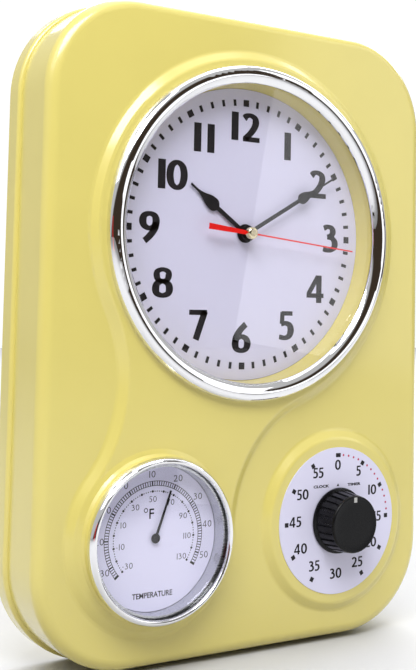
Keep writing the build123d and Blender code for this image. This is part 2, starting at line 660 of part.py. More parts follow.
with BuildPart() as thermo_can:
    disc(CAN_RADIUS, CAN_BACK, CAN_FLANGE, THERMO_X, THERMO_Z)
    disc(THERMO_LENS_RADIUS, CAN_FLANGE, GLASS_EDGE, THERMO_X, THERMO_Z)
    disc(CAN_INNER, CAN_BACK + 1, GLASS_EDGE, THERMO_X, THERMO_Z, mode=Mode.SUBTRACT)
    with BuildSketch(at(CAN_BACK, THERMO_X, THERMO_Z)):
        with PolarLocations(24, 6):
            SlotOverall(12, 4, rotation=90)
    extrude(amount=1, mode=Mode.SUBTRACT)
save(thermo_can, "thermo_can")

with BuildPart() as thermo_retainer:
    disc(39.5, 40.9, 42.4, THERMO_X, THERMO_Z)
    disc(CAN_RADIUS, 40.9, 42.4, THERMO_X, THERMO_Z, mode=Mode.SUBTRACT)
save(thermo_retainer, "thermo_retainer")

with BuildPart() as thermo_bezel:
    with BuildSketch(section(THERMO_X, THERMO_Z)):
        with BuildLine():
            Polyline(
                (36.9, 54.2),
                (36.9, 53.2),
                (THERMO_LENS_RADIUS + 0.1, 53.2),
                (THERMO_LENS_RADIUS + 0.1, CAN_FLANGE),
                (CAN_RADIUS + 0.1, CAN_FLANGE),
                (CAN_RADIUS + 0.1, THERMO_SHELF),
                (THERMO_BEZEL_RADIUS - 0.6, THERMO_SHELF),
            )
            rim, crest = (THERMO_BEZEL_RADIUS - 0.6, THERMO_SHELF), (38.6, 55.2)
            ThreePointArc(rim, (THERMO_BEZEL_RADIUS, 52.0), crest)
            ThreePointArc(crest, (37.5, 55.1), (36.9, 54.2))
        make_face()
    revolve(axis=spindle(THERMO_X, THERMO_Z))
save(thermo_bezel, "thermo_bezel")

with BuildPart() as thermo_lens:
    rise = GLASS_TOP - GLASS_EDGE - GLASS
    inner_radius = dome_radius(36.5, rise)
    disc(THERMO_LENS_RADIUS, GLASS_EDGE, GLASS_EDGE + GLASS, THERMO_X, THERMO_Z)
    disc(36.5, GLASS_EDGE, GLASS_EDGE + GLASS, THERMO_X, THERMO_Z, mode=Mode.SUBTRACT)
    with BuildSketch(section(THERMO_X, THERMO_Z)):
        with BuildLine():
            middle = inner_radius - math.sqrt(inner_radius**2 - 18**2)
            Line((0, GLASS_TOP), (0, GLASS_TOP - GLASS))
            ThreePointArc((0, GLASS_TOP - GLASS), (18, GLASS_TOP - GLASS - middle), (36.5, GLASS_EDGE))
            Line((36.5, GLASS_EDGE), (36.5, GLASS_EDGE + GLASS))
            ThreePointArc((36.5, GLASS_EDGE + GLASS), (18, GLASS_TOP - middle), (0, GLASS_TOP))
        make_face()
    revolve(axis=spindle(THERMO_X, THERMO_Z))
save(thermo_lens, "thermo_lens")

with BuildPart() as thermo_bracket:
    block(60, 7, CAN_BACK + 1, CAN_BACK + 2, THERMO_X, THERMO_Z)
    for side in (-1, 1):
        block(1, 7, CAN_BACK + 1, DIAL_BACK - 0.5, THERMO_X + side * 29.5, THERMO_Z)
    block(60, 7, DIAL_BACK - 1, DIAL_BACK, THERMO_X, THERMO_Z)
    disc(THERMO_ARBOR + RUNNING, CAN_BACK + 1, DIAL_BACK, THERMO_X, THERMO_Z, mode=Mode.SUBTRACT)
save(thermo_bracket, "thermo_bracket")

with BuildPart() as thermo_dial:
    disc(CAN_INNER - 0.2, DIAL_BACK, THERMO_DIAL_HEIGHT, THERMO_X, THERMO_Z)
    disc(THERMO_ARBOR + 0.4, DIAL_BACK, THERMO_DIAL_HEIGHT, THERMO_X, THERMO_Z, mode=Mode.SUBTRACT)
save(thermo_dial, "thermo_dial")

with BuildPart() as thermo_arbor:
    disc(THERMO_ARBOR, CAN_BACK + 1.2, 45.6, THERMO_X, THERMO_Z)
    disc(2.2, 31, 32.5, THERMO_X, THERMO_Z)
save(thermo_arbor, "thermo_arbor")

with BuildPart() as bimetal_coil:
    spiral_strip(2.8, 13.5, 7, 0.5, 33.2, 38.2, THERMO_X, THERMO_Z)
    block(0.5, 7, 33.2, 38.2, THERMO_X + 13.75, THERMO_Z + 3.5)
save(bimetal_coil, "bimetal_coil")

with BuildPart() as coil_stud:
    disc(1.2, CAN_BACK + 1, 39, THERMO_X + 15.2, THERMO_Z + 6.0)
save(coil_stud, "coil_stud")


def radial_plane(height, x, z, angle):
    """A plane at this height whose local y points at this angle, clockwise from the top."""
    turned = math.radians(angle)
    return Plane((x, -height, z), x_dir=(math.cos(turned), 0, -math.sin(turned)), z_dir=(0, -1, 0))


with BuildPart() as thermo_pointer:
    with BuildSketch(radial_plane(44.7, THERMO_X, THERMO_Z, POINTER_ANGLE)):
        Polygon((0.65, 0), (0.45, 24), (-0.45, 24), (-0.65, 0), align=None)
        Circle(2.4)
        Circle(THERMO_ARBOR, mode=Mode.SUBTRACT)
    extrude(amount=0.4)
save(thermo_pointer, "thermo_pointer")

# ---------------------------------------------------------------- timer dial and knob
ARBOR_RADIUS = 3.0
KNOB_BACK = 45.9
FLUTES = 24
INDEX_SIZE, INDEX_REACH = (2.0, 2.6), 12.9  # the index mark's width and height, and its distance out

with BuildPart() as timer_dial:
    disc(TIMER_DIAL_RADIUS, FACE, FACE + 0.45, TIMER_X, TIMER_Z)
    disc(ARBOR_HOLE, FACE, FACE + 0.45, TIMER_X, TIMER_Z, mode=Mode.SUBTRACT)
save(timer_dial, "timer_dial")


def fluted_outline(radius, depth):
    """A round outline with square-bottomed grooves, for a knob's grip."""
    pitch = math.tau / FLUTES
    points = []
    for flute in range(FLUTES):
        for share, level in ((-0.34, radius), (0.0, radius), (0.34, radius), (0.42, radius - depth)):
            angle = (flute + share) * pitch
            points.append((level * math.cos(angle), level * math.sin(angle)))
        angle = (flute + 0.58) * pitch
        points.append(((radius - depth) * math.cos(angle), (radius - depth) * math.sin(angle)))
    Polygon(*points, align=None)


with BuildPart() as timer_knob:
    turn(
        [
            (0, KNOB_BACK),
            (KNOB_BASE_RADIUS, KNOB_BACK),
            (KNOB_BASE_RADIUS, 47.0),
            (KNOB_BASE_RADIUS - 0.6, 47.6),
            (0, 47.6),
        ],
        TIMER_X,
        TIMER_Z,
    )
    with BuildSketch(at(47.6, TIMER_X, TIMER_Z)):
        fluted_outline(16.2, 1.0)
    with BuildSketch(at(KNOB_FRONT - 1.2, TIMER_X, TIMER_Z)):
        fluted_outline(KNOB_TOP_RADIUS, 1.0)
    loft(ruled=True)
    turn(
        [(0, 59.0), (KNOB_TOP_RADIUS, 59.0), (KNOB_TOP_RADIUS, 60.0), (14.5, KNOB_FRONT), (0, KNOB_FRONT)],
        TIMER_X,
        TIMER_Z,
    )
    disc(ARBOR_RADIUS, KNOB_BACK, 57, TIMER_X, TIMER_Z, mode=Mode.SUBTRACT)
    block(*INDEX_SIZE, KNOB_FRONT - 0.4, KNOB_FRONT, TIMER_X, TIMER_Z + INDEX_REACH, mode=Mode.SUBTRACT)
save(timer_knob, "timer_knob")

with BuildPart() as knob_index:
    block(*INDEX_SIZE, KNOB_FRONT - 0.4, KNOB_FRONT, TIMER_X, TIMER_Z + INDEX_REACH)
save(knob_index, "knob_index")

# ---------------------------------------------------------------- timer movement
PLATE = 1.5
REAR_PLATE_BACK = 15.0
SPRING_LOW, SPRING_HIGH = 18.0, 23.5
PILLARS = [(TIMER_X + x, TIMER_Z + z) for x in (-26.0, 26.0) for z in (-11.0, 11.0)]
SECOND_AXIS = away(TIMER_X, TIMER_Z, (60 + 12) * 0.5 / 2, 215)
THIRD_TIMER_AXIS = away(*SECOND_AXIS, (40 + 10) * 0.4 / 2, 120)
ESCAPE_AXIS = away(*THIRD_TIMER_AXIS, (40 + 10) * 0.35 / 2, 75)
ESCAPE_RADIUS = 5.0
PALLET_DISTANCE = 8.2
PALLET_AXIS = away(*ESCAPE_AXIS, PALLET_DISTANCE, 80)
TRAIN_ARBOR = 0.9
HAMMER_AXIS = (TIMER_X + 12.0, TIMER_Z - 20.0)
BELL_X = TIMER_X + 8.0
BELL_RADIUS, BELL_RIM, BELL_RISE, BELL_WALL = 19.0, 12.5, 9.0, 0.9


def timer_plate(low):
    """One of the timer movement's two plates, with the pivot holes of its train."""
    with BuildSketch(at(low, TIMER_X, TIMER_Z)) as outline:
        RectangleRounded(60, 48, 5)
        Circle(ARBOR_RADIUS + RUNNING, mode=Mode.SUBTRACT)
    extrude(outline.sketch, amount=PLATE)
    for axis_x, axis_z in (SECOND_AXIS, THIRD_TIMER_AXIS, ESCAPE_AXIS, PALLET_AXIS, HAMMER_AXIS):
        disc(TRAIN_ARBOR + RUNNING, low, low + PLATE, axis_x, axis_z, mode=Mode.SUBTRACT)


FRONT_PLATE_BACK = TIMER_PLATE_HEIGHT - PLATE

with BuildPart() as timer_front_plate:
    timer_plate(FRONT_PLATE_BACK)
    for hole_x, hole_z in TIMER_FIXINGS:
        disc(1.5, FRONT_PLATE_BACK, TIMER_PLATE_HEIGHT, hole_x, hole_z, mode=Mode.SUBTRACT)
save(timer_front_plate, "timer_front_plate")

with BuildPart() as timer_rear_plate:
    timer_plate(REAR_PLATE_BACK)
    for hole_x, hole_z in TIMER_FIXINGS:
        disc(3.2, REAR_PLATE_BACK, REAR_PLATE_BACK + PLATE, hole_x, hole_z, mode=Mode.SUBTRACT)
save(timer_rear_plate, "timer_rear_plate")

with BuildPart() as timer_pillars:
    for pillar_x, pillar_z in PILLARS:
        disc(2, REAR_PLATE_BACK + PLATE, FRONT_PLATE_BACK, pillar_x, pillar_z)
save(timer_pillars, "timer_pillars")

with BuildPart() as timer_screws:
    for hole_x, hole_z in TIMER_FIXINGS:
        pan_screw(hole_x, hole_z, FRONT_PLATE_BACK, 7.5, 1.25, 2.6, 1.5)
save(timer_screws, "timer_screws")

with BuildPart() as timer_arbor:
    disc(ARBOR_RADIUS, REAR_PLATE_BACK, 57, TIMER_X, TIMER_Z)
    disc(ARBOR_RADIUS + 1.2, 24, 28.5, TIMER_X, TIMER_Z)
save(timer_arbor, "timer_arbor")

with BuildPart() as main_gear:
    gear(60, 0.5, 25, 26.2, TIMER_X, TIMER_Z, phase=meshing_phase(60, 215, 12, 35))
    disc(ARBOR_RADIUS + 1.2, 25, 26.2, TIMER_X, TIMER_Z, mode=Mode.SUBTRACT)
save(main_gear, "main_gear")

with BuildPart() as mainspring:
    spiral_strip(3.5, 15.5, 8, 0.6, SPRING_LOW, SPRING_HIGH, TIMER_X, TIMER_Z)
    block(0.6, 5, SPRING_LOW, SPRING_HIGH, TIMER_X + 15.8, TIMER_Z + 2.5)
save(mainspring, "mainspring")

with BuildPart() as spring_stud:
    disc(1.4, REAR_PLATE_BACK + PLATE, SPRING_HIGH + 1, TIMER_X + 17.5, TIMER_Z + 4.0)
save(spring_stud, "spring_stud")

with BuildPart() as timer_second_gear:
    disc(TRAIN_ARBOR, REAR_PLATE_BACK, TIMER_PLATE_HEIGHT, *SECOND_AXIS)
    gear(12, 0.5, 24.5, 27.8, *SECOND_AXIS, phase=35)
    gear(40, 0.4, 27.8, 28.8, *SECOND_AXIS, phase=meshing_phase(40, 120, 10, 300))
save(timer_second_gear, "timer_second_gear")

with BuildPart() as timer_third_gear:
    disc(TRAIN_ARBOR, REAR_PLATE_BACK, TIMER_PLATE_HEIGHT, *THIRD_TIMER_AXIS)
    gear(10, 0.4, 27.4, 30.2, *THIRD_TIMER_AXIS, phase=300)
    gear(40, 0.35, 30.2, 31.2, *THIRD_TIMER_AXIS, phase=meshing_phase(40, 75, 10, 255))
save(timer_third_gear, "timer_third_gear")

ESCAPE_TEETH = 15

with BuildPart() as escape_wheel:
    disc(TRAIN_ARBOR, REAR_PLATE_BACK, TIMER_PLATE_HEIGHT, *ESCAPE_AXIS)
    gear(10, 0.35, 29.8, 31.6, *ESCAPE_AXIS, phase=255)
    with BuildSketch(at(28.4, *ESCAPE_AXIS)):
        teeth = []
        for tooth in range(ESCAPE_TEETH):
            for share, radius in ((0.0, ESCAPE_RADIUS), (0.12, ESCAPE_RADIUS), (0.3, 3.6), (0.9, 3.6)):
                angle = (tooth + share) * math.tau / ESCAPE_TEETH
                teeth.append((radius * math.cos(angle), radius * math.sin(angle)))
        Polygon(*teeth, align=None)
    extrude(amount=0.6)
save(escape_wheel, "escape_wheel")

with BuildPart() as pallet_lever:
    disc(TRAIN_ARBOR, REAR_PLATE_BACK, TIMER_PLATE_HEIGHT, *PALLET_AXIS)
    half = [(0, 1.6), (3.2, 3.0), (3.8, 4.3), (4.6, 5.0), (5.4, 2.4), (1.5, -1.5)]
    with BuildSketch(radial_plane(28.4, *PALLET_AXIS, 190)):
        Polygon(*half, *[(-side, along) for side, along in reversed(half[1:])], align=None)
    extrude(amount=0.6)
    with BuildSketch(radial_plane(32.4, *PALLET_AXIS, 190)):
        SlotOverall(13, 2.4)
    extrude(amount=0.8)
save(pallet_lever, "pallet_lever")

with BuildPart() as bell:
    with BuildSketch(section(BELL_X, TIMER_Z)):
        with BuildLine():
            crown = BELL_RIM - BELL_RISE
            sphere = dome_radius(BELL_RADIUS, BELL_RISE)
            middle = crown + sphere - math.sqrt(sphere**2 - 10**2)
            Line((0, crown), (0, crown + BELL_WALL))
            rim = (BELL_RADIUS, BELL_RIM + BELL_WALL)
            ThreePointArc((0, crown + BELL_WALL), (10, middle + BELL_WALL), rim)
            Line((BELL_RADIUS, BELL_RIM + BELL_WALL), (BELL_RADIUS, BELL_RIM))
            ThreePointArc((BELL_RADIUS, BELL_RIM), (10, middle), (0, crown))
        make_face()
    revolve(axis=spindle(BELL_X, TIMER_Z))
    disc(1.6, 3, 6, BELL_X, TIMER_Z, mode=Mode.SUBTRACT)
save(bell, "bell")

with BuildPart() as bell_post:
    disc(2.5, 2.9, 3.5, BELL_X, TIMER_Z)
    disc(1.5, 2.9, 4.6, BELL_X, TIMER_Z)
    disc(2.6, 4.6, REAR_PLATE_BACK, BELL_X, TIMER_Z)
save(bell_post, "bell_post")

HAMMER_HEAD = (TIMER_X - 7.0, TIMER_Z - 19.0)
ARM_REACH = math.dist(HAMMER_AXIS, HAMMER_HEAD)
ARM_MIDDLE = ((HAMMER_AXIS[0] + HAMMER_HEAD[0]) / 2, (HAMMER_AXIS[1] + HAMMER_HEAD[1]) / 2)
ARM_SLOPE = math.degrees(math.atan2(HAMMER_HEAD[1] - HAMMER_AXIS[1], HAMMER_HEAD[0] - HAMMER_AXIS[0]))

with BuildPart() as hammer:
    disc(TRAIN_ARBOR, 13.8, TIMER_PLATE_HEIGHT, *HAMMER_AXIS)
    with BuildSketch(at(13.8, *ARM_MIDDLE)):
        SlotCenterToCenter(ARM_REACH, 2.8, rotation=ARM_SLOPE)
    extrude(amount=0.9)
    disc(2.5, 9.5, 14.7, *HAMMER_HEAD)
save(hammer, "hammer")
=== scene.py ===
"""The look of a kitchen wall clock with a dial thermometer and a mechanical timer.

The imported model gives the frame. This script dresses each of its nodes with a procedural finish,
prints the three dials, and sets the floor, the lights and the camera. Sizes are in millimetres in
the classes below and become metres when a mesh is made. "Height" is the distance out from the wall,
so a point at height h has y = -h, and "clockwise" is as the clock is read.
"""

import logging
import math
from dataclasses import dataclass, field
from enum import Enum

import bmesh
import bpy
import numpy as np
from mathutils import Matrix


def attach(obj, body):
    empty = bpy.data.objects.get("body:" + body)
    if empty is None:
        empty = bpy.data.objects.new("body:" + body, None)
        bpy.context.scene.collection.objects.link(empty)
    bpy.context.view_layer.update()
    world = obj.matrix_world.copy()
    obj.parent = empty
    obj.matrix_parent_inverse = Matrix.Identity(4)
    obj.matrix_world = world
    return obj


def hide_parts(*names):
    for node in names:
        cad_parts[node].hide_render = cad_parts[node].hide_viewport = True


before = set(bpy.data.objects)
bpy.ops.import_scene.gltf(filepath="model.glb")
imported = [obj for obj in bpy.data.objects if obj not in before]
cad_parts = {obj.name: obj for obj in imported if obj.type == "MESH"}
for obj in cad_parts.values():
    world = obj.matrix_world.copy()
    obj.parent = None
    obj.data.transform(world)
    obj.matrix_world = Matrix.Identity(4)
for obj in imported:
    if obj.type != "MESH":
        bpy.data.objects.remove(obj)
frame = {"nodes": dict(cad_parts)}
log = logging.getLogger("clock")
MM = 0.001
PRINT_GAP = 0.004
LETTER_GAP = 0.03
CAPITAL_SHARE = 0.73


# ---------------------------------------------------------------- finishes
class Grain(Enum):
    """How a finish's fine pattern is laid out."""

    CLOUD = "even speckle"
    BRUSHED_X = "fine lines along X"
    TURNED = "rings about the spindle"
    FIBRE = "fine winding across X"


@dataclass(frozen=True)
class Finish:
    """A procedural surface: a base colour that varies, a roughness that varies, and a fine relief.

    Attributes:
        name: the material's name.
        colour: linear base colour.
        spread: how far the colour drifts, as a share of it.
        roughness: mean roughness.
        roughness_spread: how far the roughness drifts either way.
        metallic: 1 for bare metal.
        grain: the layout of the fine pattern.
        grain_mm: size of one grain.
        relief_mm: height of the fine relief.
        coat: weight of a clear top coat.
        coat_roughness: roughness of that coat.
        ior: refractive index.
        centre: the spindle (x, z) that turned rings run round, in millimetres.
    """

    name: str
    colour: tuple[float, float, float]
    spread: float = 0.06
    roughness: float = 0.4
    roughness_spread: float = 0.06
    metallic: float = 0.0
    grain: Grain = Grain.CLOUD
    grain_mm: float = 0.6
    relief_mm: float = 0.01
    coat: float = 0.0
    coat_roughness: float = 0.05
    ior: float = 1.47
    centre: tuple[float, float] = (0.0, 0.0)

    def build(self) -> bpy.types.Material:
        """Makes the material, or returns the one already made.

        Returns:
            The material, with its nodes reading Object coordinates.
        """
        label = f"{self.name}_finish"
        made = bpy.data.materials.get(label)
        if made:
            return made
        material = bpy.data.materials.new(label)
        material.use_nodes = True
        nodes, links = material.node_tree.nodes, material.node_tree.links
        shader = nodes["Principled BSDF"]
        shader.inputs["Metallic"].default_value = self.metallic
        shader.inputs["IOR"].default_value = self.ior
        shader.inputs["Coat Weight"].default_value = self.coat
        shader.inputs["Coat Roughness"].default_value = self.coat_roughness
        place = nodes.new("ShaderNodeTexCoord")
        mapping = nodes.new("ShaderNodeMapping")
        links.new(place.outputs["Object"], mapping.inputs["Vector"])
        drift = nodes.new("ShaderNodeTexNoise")
        drift.inputs["Scale"].default_value = 18.0
        drift.inputs["Detail"].default_value = 3.0
        links.new(place.outputs["Object"], drift.inputs["Vector"])
        fine = self._fine_pattern(nodes, links, mapping)
        shade = nodes.new("ShaderNodeValToRGB")
        low = [max(0.0, c * (1 - self.spread)) for c in self.colour]
        high = [min(1.0, c * (1 + self.spread)) for c in self.colour]
        shade.color_ramp.elements[0].position = 0.3
        shade.color_ramp.elements[1].position = 0.7
        shade.color_ramp.elements[0].color = (*low, 1)
        shade.color_ramp.elements[1].color = (*high, 1)
        links.new(drift.outputs["Fac"], shade.inputs["Fac"])
        links.new(shade.outputs["Color"], shader.inputs["Base Color"])
        rough = nodes.new("ShaderNodeMapRange")
        rough.inputs["From Min"].default_value = 0.3
        rough.inputs["From Max"].default_value = 0.7
        rough.inputs["To Min"].default_value = max(0.01, self.roughness - self.roughness_spread)
        rough.inputs["To Max"].default_value = min(1.0, self.roughness + self.roughness_spread)
        links.new(fine, rough.inputs["Value"])
        links.new(rough.outputs["Result"], shader.inputs["Roughness"])
        bump = nodes.new("ShaderNodeBump")
        bump.inputs["Strength"].default_value = 0.5
        bump.inputs["Distance"].default_value = self.relief_mm * MM
        links.new(fine, bump.inputs["Height"])
        links.new(bump.outputs["Normal"], shader.inputs["Normal"])
        return material

    def _fine_pattern(
        self, nodes: bpy.types.Nodes, links: bpy.types.NodeLinks, mapping: bpy.types.Node
    ) -> bpy.types.NodeSocket:
        """Adds the fine pattern's nodes.

        Args:
            nodes: the material's nodes.
            links: the material's links.
            mapping: the node that centres or stretches the pattern.

        Returns:
            The socket that gives the pattern's value, from 0 to 1.
        """
        if self.grain is Grain.TURNED:
            mapping.inputs["Location"].default_value = (-self.centre[0] * MM, 0, -self.centre[1] * MM)
            rings = nodes.new("ShaderNodeTexWave")
            rings.wave_type = "RINGS"
            rings.rings_direction = "Y"
            rings.inputs["Scale"].default_value = 0.3 / (self.grain_mm * MM)
            rings.inputs["Distortion"].default_value = 1.5
            rings.inputs["Detail"].default_value = 2.0
            links.new(mapping.outputs["Vector"], rings.inputs["Vector"])
            return rings.outputs["Fac"]
        if self.grain is Grain.BRUSHED_X:
            mapping.inputs["Scale"].default_value = (0.04, 1, 1)
        if self.grain is Grain.FIBRE:
            mapping.inputs["Scale"].default_value = (1, 0.04, 0.04)
        speckle = nodes.new("ShaderNodeTexNoise")
        speckle.inputs["Scale"].default_value = 1.0 / (self.grain_mm * MM)
        speckle.inputs["Detail"].default_value = 4.0
        links.new(mapping.outputs["Vector"], speckle.inputs["Vector"])
        return speckle.outputs["Fac"]

    def dress(self, *objects: bpy.types.Object) -> None:
        """Puts this finish on every slot of the objects.

        Args:
            objects: mesh objects, new or from the frame.
        """
        material = self.build()
        for item in objects:
            if not item.material_slots:
                item.data.materials.append(material)
            for socket in item.material_slots:
                socket.link = "OBJECT"
                socket.material = material


@dataclass(frozen=True)
class ClearGlazing:
    """Thin clear glazing that lets light straight through and mirrors a share of it, with faint wipe marks.

    Attributes:
        name: the material's name.
        tint: what it lets through.
        straight: the share mirrored when met head on.
        haze: roughness of the mirrored share, lowest and highest.
    """

    name: str
    tint: tuple[float, float, float] = (0.99, 0.99, 0.995)
    straight: float = 0.032
    haze: tuple[float, float] = (0.0, 0.03)

    def build(self) -> bpy.types.Material:
        """Makes the material: Schlick's rule, straight + (1 - straight) (1 - cos)^5, mixes mirror and clear.

        Returns:
            The material.
        """
        material = bpy.data.materials.new(self.name)
        material.use_nodes = True
        nodes, links = material.node_tree.nodes, material.node_tree.links
        nodes.remove(nodes["Principled BSDF"])
        clear = nodes.new("ShaderNodeBsdfTransparent")
        clear.inputs["Color"].default_value = (*self.tint, 1)
        mirror = nodes.new("ShaderNodeBsdfAnisotropic")
        mirror.inputs["Color"].default_value = (1, 1, 1, 1)
        facing = nodes.new("ShaderNodeLayerWeight")
        facing.inputs["Blend"].default_value = 0.5
        steep = nodes.new("ShaderNodeMath")
        steep.operation = "POWER"
        steep.inputs[1].default_value = 5.0
        links.new(facing.outputs["Facing"], steep.inputs[0])
        share = nodes.new("ShaderNodeMapRange")
        share.inputs["To Min"].default_value = self.straight
        share.inputs["To Max"].default_value = 1.0
        links.new(steep.outputs[0], share.inputs["Value"])
        place = nodes.new("ShaderNodeTexCoord")
        smear = nodes.new("ShaderNodeTexNoise")
        smear.inputs["Scale"].default_value = 30.0
        smear.inputs["Detail"].default_value = 5.0
        links.new(place.outputs["Object"], smear.inputs["Vector"])
        rough = nodes.new("ShaderNodeMapRange")
        rough.inputs["To Min"].default_value, rough.inputs["To Max"].default_value = self.haze
        links.new(smear.outputs["Fac"], rough.inputs["Value"])
        links.new(rough.outputs["Result"], mirror.inputs["Roughness"])
        bump = nodes.new("ShaderNodeBump")
        bump.inputs["Strength"].default_value = 0.03
        bump.inputs["Distance"].default_value = 0.01 * MM
        links.new(smear.outputs["Fac"], bump.inputs["Height"])
        links.new(bump.outputs["Normal"], mirror.inputs["Normal"])
        mix = nodes.new("ShaderNodeMixShader")
        links.new(share.outputs["Result"], mix.inputs["Fac"])
        links.new(clear.outputs["BSDF"], mix.inputs[1])
        links.new(mirror.outputs["BSDF"], mix.inputs[2])
        links.new(mix.outputs["Shader"], nodes["Material Output"].inputs["Surface"])
        return material

    def dress(self, *objects: bpy.types.Object) -> None:
        """Puts the glazing on the objects.

        Args:
            objects: the lenses.
        """
        material = bpy.data.materials.get(self.name) or self.build()
        for item in objects:
            for socket in item.material_slots:
                socket.link = "OBJECT"
                socket.material = material


YELLOW_CASE = Finish("yellow_case", (0.650, 0.560, 0.155), spread=0.02, roughness=0.22, roughness_spread=0.04,
                     grain_mm=0.35, relief_mm=0.002, coat=0.6, coat_roughness=0.12, ior=1.5)
YELLOW_COVER = Finish("yellow_cover", (0.64, 0.54, 0.14), spread=0.05, roughness=0.5, grain_mm=0.5,
                      relief_mm=0.03)
CHROME = Finish("chrome_plate", (0.86, 0.86, 0.87), spread=0.01, roughness=0.035, roughness_spread=0.015,
                metallic=1.0, grain_mm=1.5, relief_mm=0.0005)
DIAL_WHITE = Finish("dial_white", (0.65, 0.635, 0.78), spread=0.012, roughness=0.5, grain_mm=0.25,
                    relief_mm=0.003)
THERMO_WHITE = Finish("thermo_white", (0.76, 0.745, 0.92), spread=0.012, roughness=0.5, grain_mm=0.25,
                      relief_mm=0.003)
PRINT_BLACK = Finish("print_black", (0.008, 0.006, 0.008), spread=0.2, roughness=0.5, ior=1.35, grain_mm=0.2,
                     relief_mm=0.003)
PRINT_RED = Finish("print_red", (0.42, 0.03, 0.09), spread=0.1, roughness=0.4, grain_mm=0.2, relief_mm=0.002)
HAND_BLACK = Finish("hand_black", (0.006, 0.005, 0.006), spread=0.15, roughness=0.40, grain_mm=0.2,
                    relief_mm=0.004, ior=1.35)
HAND_RED = Finish("hand_red", (0.78, 0.006, 0.004), spread=0.05, roughness=0.4, grain_mm=0.2, relief_mm=0.003,
                  ior=1.3)
CAP_GOLD = Finish("cap_gold", (0.86, 0.76, 0.48), spread=0.05, roughness=0.16, metallic=1.0,
                  grain=Grain.TURNED, grain_mm=0.15, relief_mm=0.003, centre=(0.0, 50.5))
KNOB_BLACK = Finish("knob_black", (0.002, 0.002, 0.0025), spread=0.2, roughness=0.26, roughness_spread=0.04,
                    grain_mm=0.3, relief_mm=0.002, ior=1.30)
INDEX_CREAM = Finish("index_cream", (0.42, 0.42, 0.40), roughness=0.5, grain_mm=0.2)
ZINC = Finish("zinc_plate", (0.60, 0.61, 0.63), spread=0.08, roughness=0.28, metallic=1.0,
              grain=Grain.BRUSHED_X, grain_mm=0.25, relief_mm=0.006)
BRASS = Finish("brass", (0.74, 0.56, 0.26), spread=0.06, roughness=0.24, metallic=1.0, grain_mm=0.3,
               relief_mm=0.004)
SPRING_STEEL = Finish("spring_steel", (0.22, 0.24, 0.29), spread=0.12, roughness=0.26, metallic=1.0,
                      grain=Grain.BRUSHED_X, grain_mm=0.3, relief_mm=0.004)
SOFT_IRON = Finish("soft_iron", (0.36, 0.36, 0.37), spread=0.08, roughness=0.42, metallic=1.0, grain_mm=0.3)
COPPER = Finish("copper_wire", (0.62, 0.24, 0.09), spread=0.12, roughness=0.28, metallic=1.0,
                grain=Grain.FIBRE, grain_mm=0.12, relief_mm=0.03)
HOUSING_BLACK = Finish("housing_black", (0.022, 0.022, 0.024), spread=0.15, roughness=0.55, grain_mm=0.4,
                       relief_mm=0.03)
NATURAL_PLASTIC = Finish("natural_plastic", (0.72, 0.70, 0.62), roughness=0.42, grain_mm=0.4, relief_mm=0.01)
ACETAL = Finish("acetal", (0.80, 0.79, 0.74), spread=0.03, roughness=0.35, grain_mm=0.3, relief_mm=0.005)
SOLDER_GREEN = Finish("solder_green", (0.03, 0.17, 0.07), spread=0.15, roughness=0.3, grain_mm=0.5, coat=0.4)
BATTERY_SLEEVE = Finish("battery_sleeve", (0.05, 0.07, 0.11), spread=0.1, roughness=0.25, metallic=0.4,
                        grain=Grain.FIBRE, grain_mm=0.4, relief_mm=0.004, coat=0.5)
RUBBER = Finish("rubber", (0.02, 0.02, 0.02), spread=0.2, roughness=0.75, grain_mm=0.3, relief_mm=0.02)
GLAZING = ClearGlazing("clear_glazing")
FLOOR_PAPER = Finish("floor_paper", (0.50, 0.50, 0.50), spread=0.01, roughness=0.8, grain_mm=2.0,
                     relief_mm=0.05)


# ---------------------------------------------------------------- meshes
def smoothstep(values: np.ndarray) -> np.ndarray:
    """The curve 3 t^2 - 2 t^3, with t held between 0 and 1."""
    held = np.clip(values, 0.0, 1.0)
    return held * held * (3 - 2 * held)


def make_piece(name: str, points: np.ndarray, faces: np.ndarray, body: str) -> bpy.types.Object:
    """Makes a mesh piece that rides on a body.

    Args:
        name: the piece's name.
        points: N by 3 array of places in metres, in the row frame.
        faces: M by 4 array of corner numbers.
        body: the body it rides on.

    Returns:
        The new object, at the origin.
    """
    mesh = bpy.data.meshes.new(name)
    mesh.from_pydata(points.tolist(), [], faces.tolist())
    mesh.update()
    piece = bpy.data.objects.new(name, mesh)
    bpy.context.scene.collection.objects.link(piece)
    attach(piece, body)
    return piece


def on_dial(across: np.ndarray, up: np.ndarray, height: np.ndarray | float) -> np.ndarray:
    """Places dial points in the row frame: x = across, y = -height, z = up, in metres."""
    return np.stack([across, np.broadcast_to(-np.asarray(height, float), across.shape), up], axis=-1) * MM


def grid_faces(rows: int, columns: int, start: int = 0) -> np.ndarray:
    """Quads that join a grid of points row by row.

    Args:
        rows: points along the first parameter.
        columns: points along the second.
        start: number of the grid's first point.

    Returns:
        An array of four corner numbers per quad.
    """
    first = (np.arange(rows - 1)[:, None] * columns + np.arange(columns - 1)[None, :]).ravel() + start
    return np.stack([first, first + columns, first + columns + 1, first + 1], axis=-1)


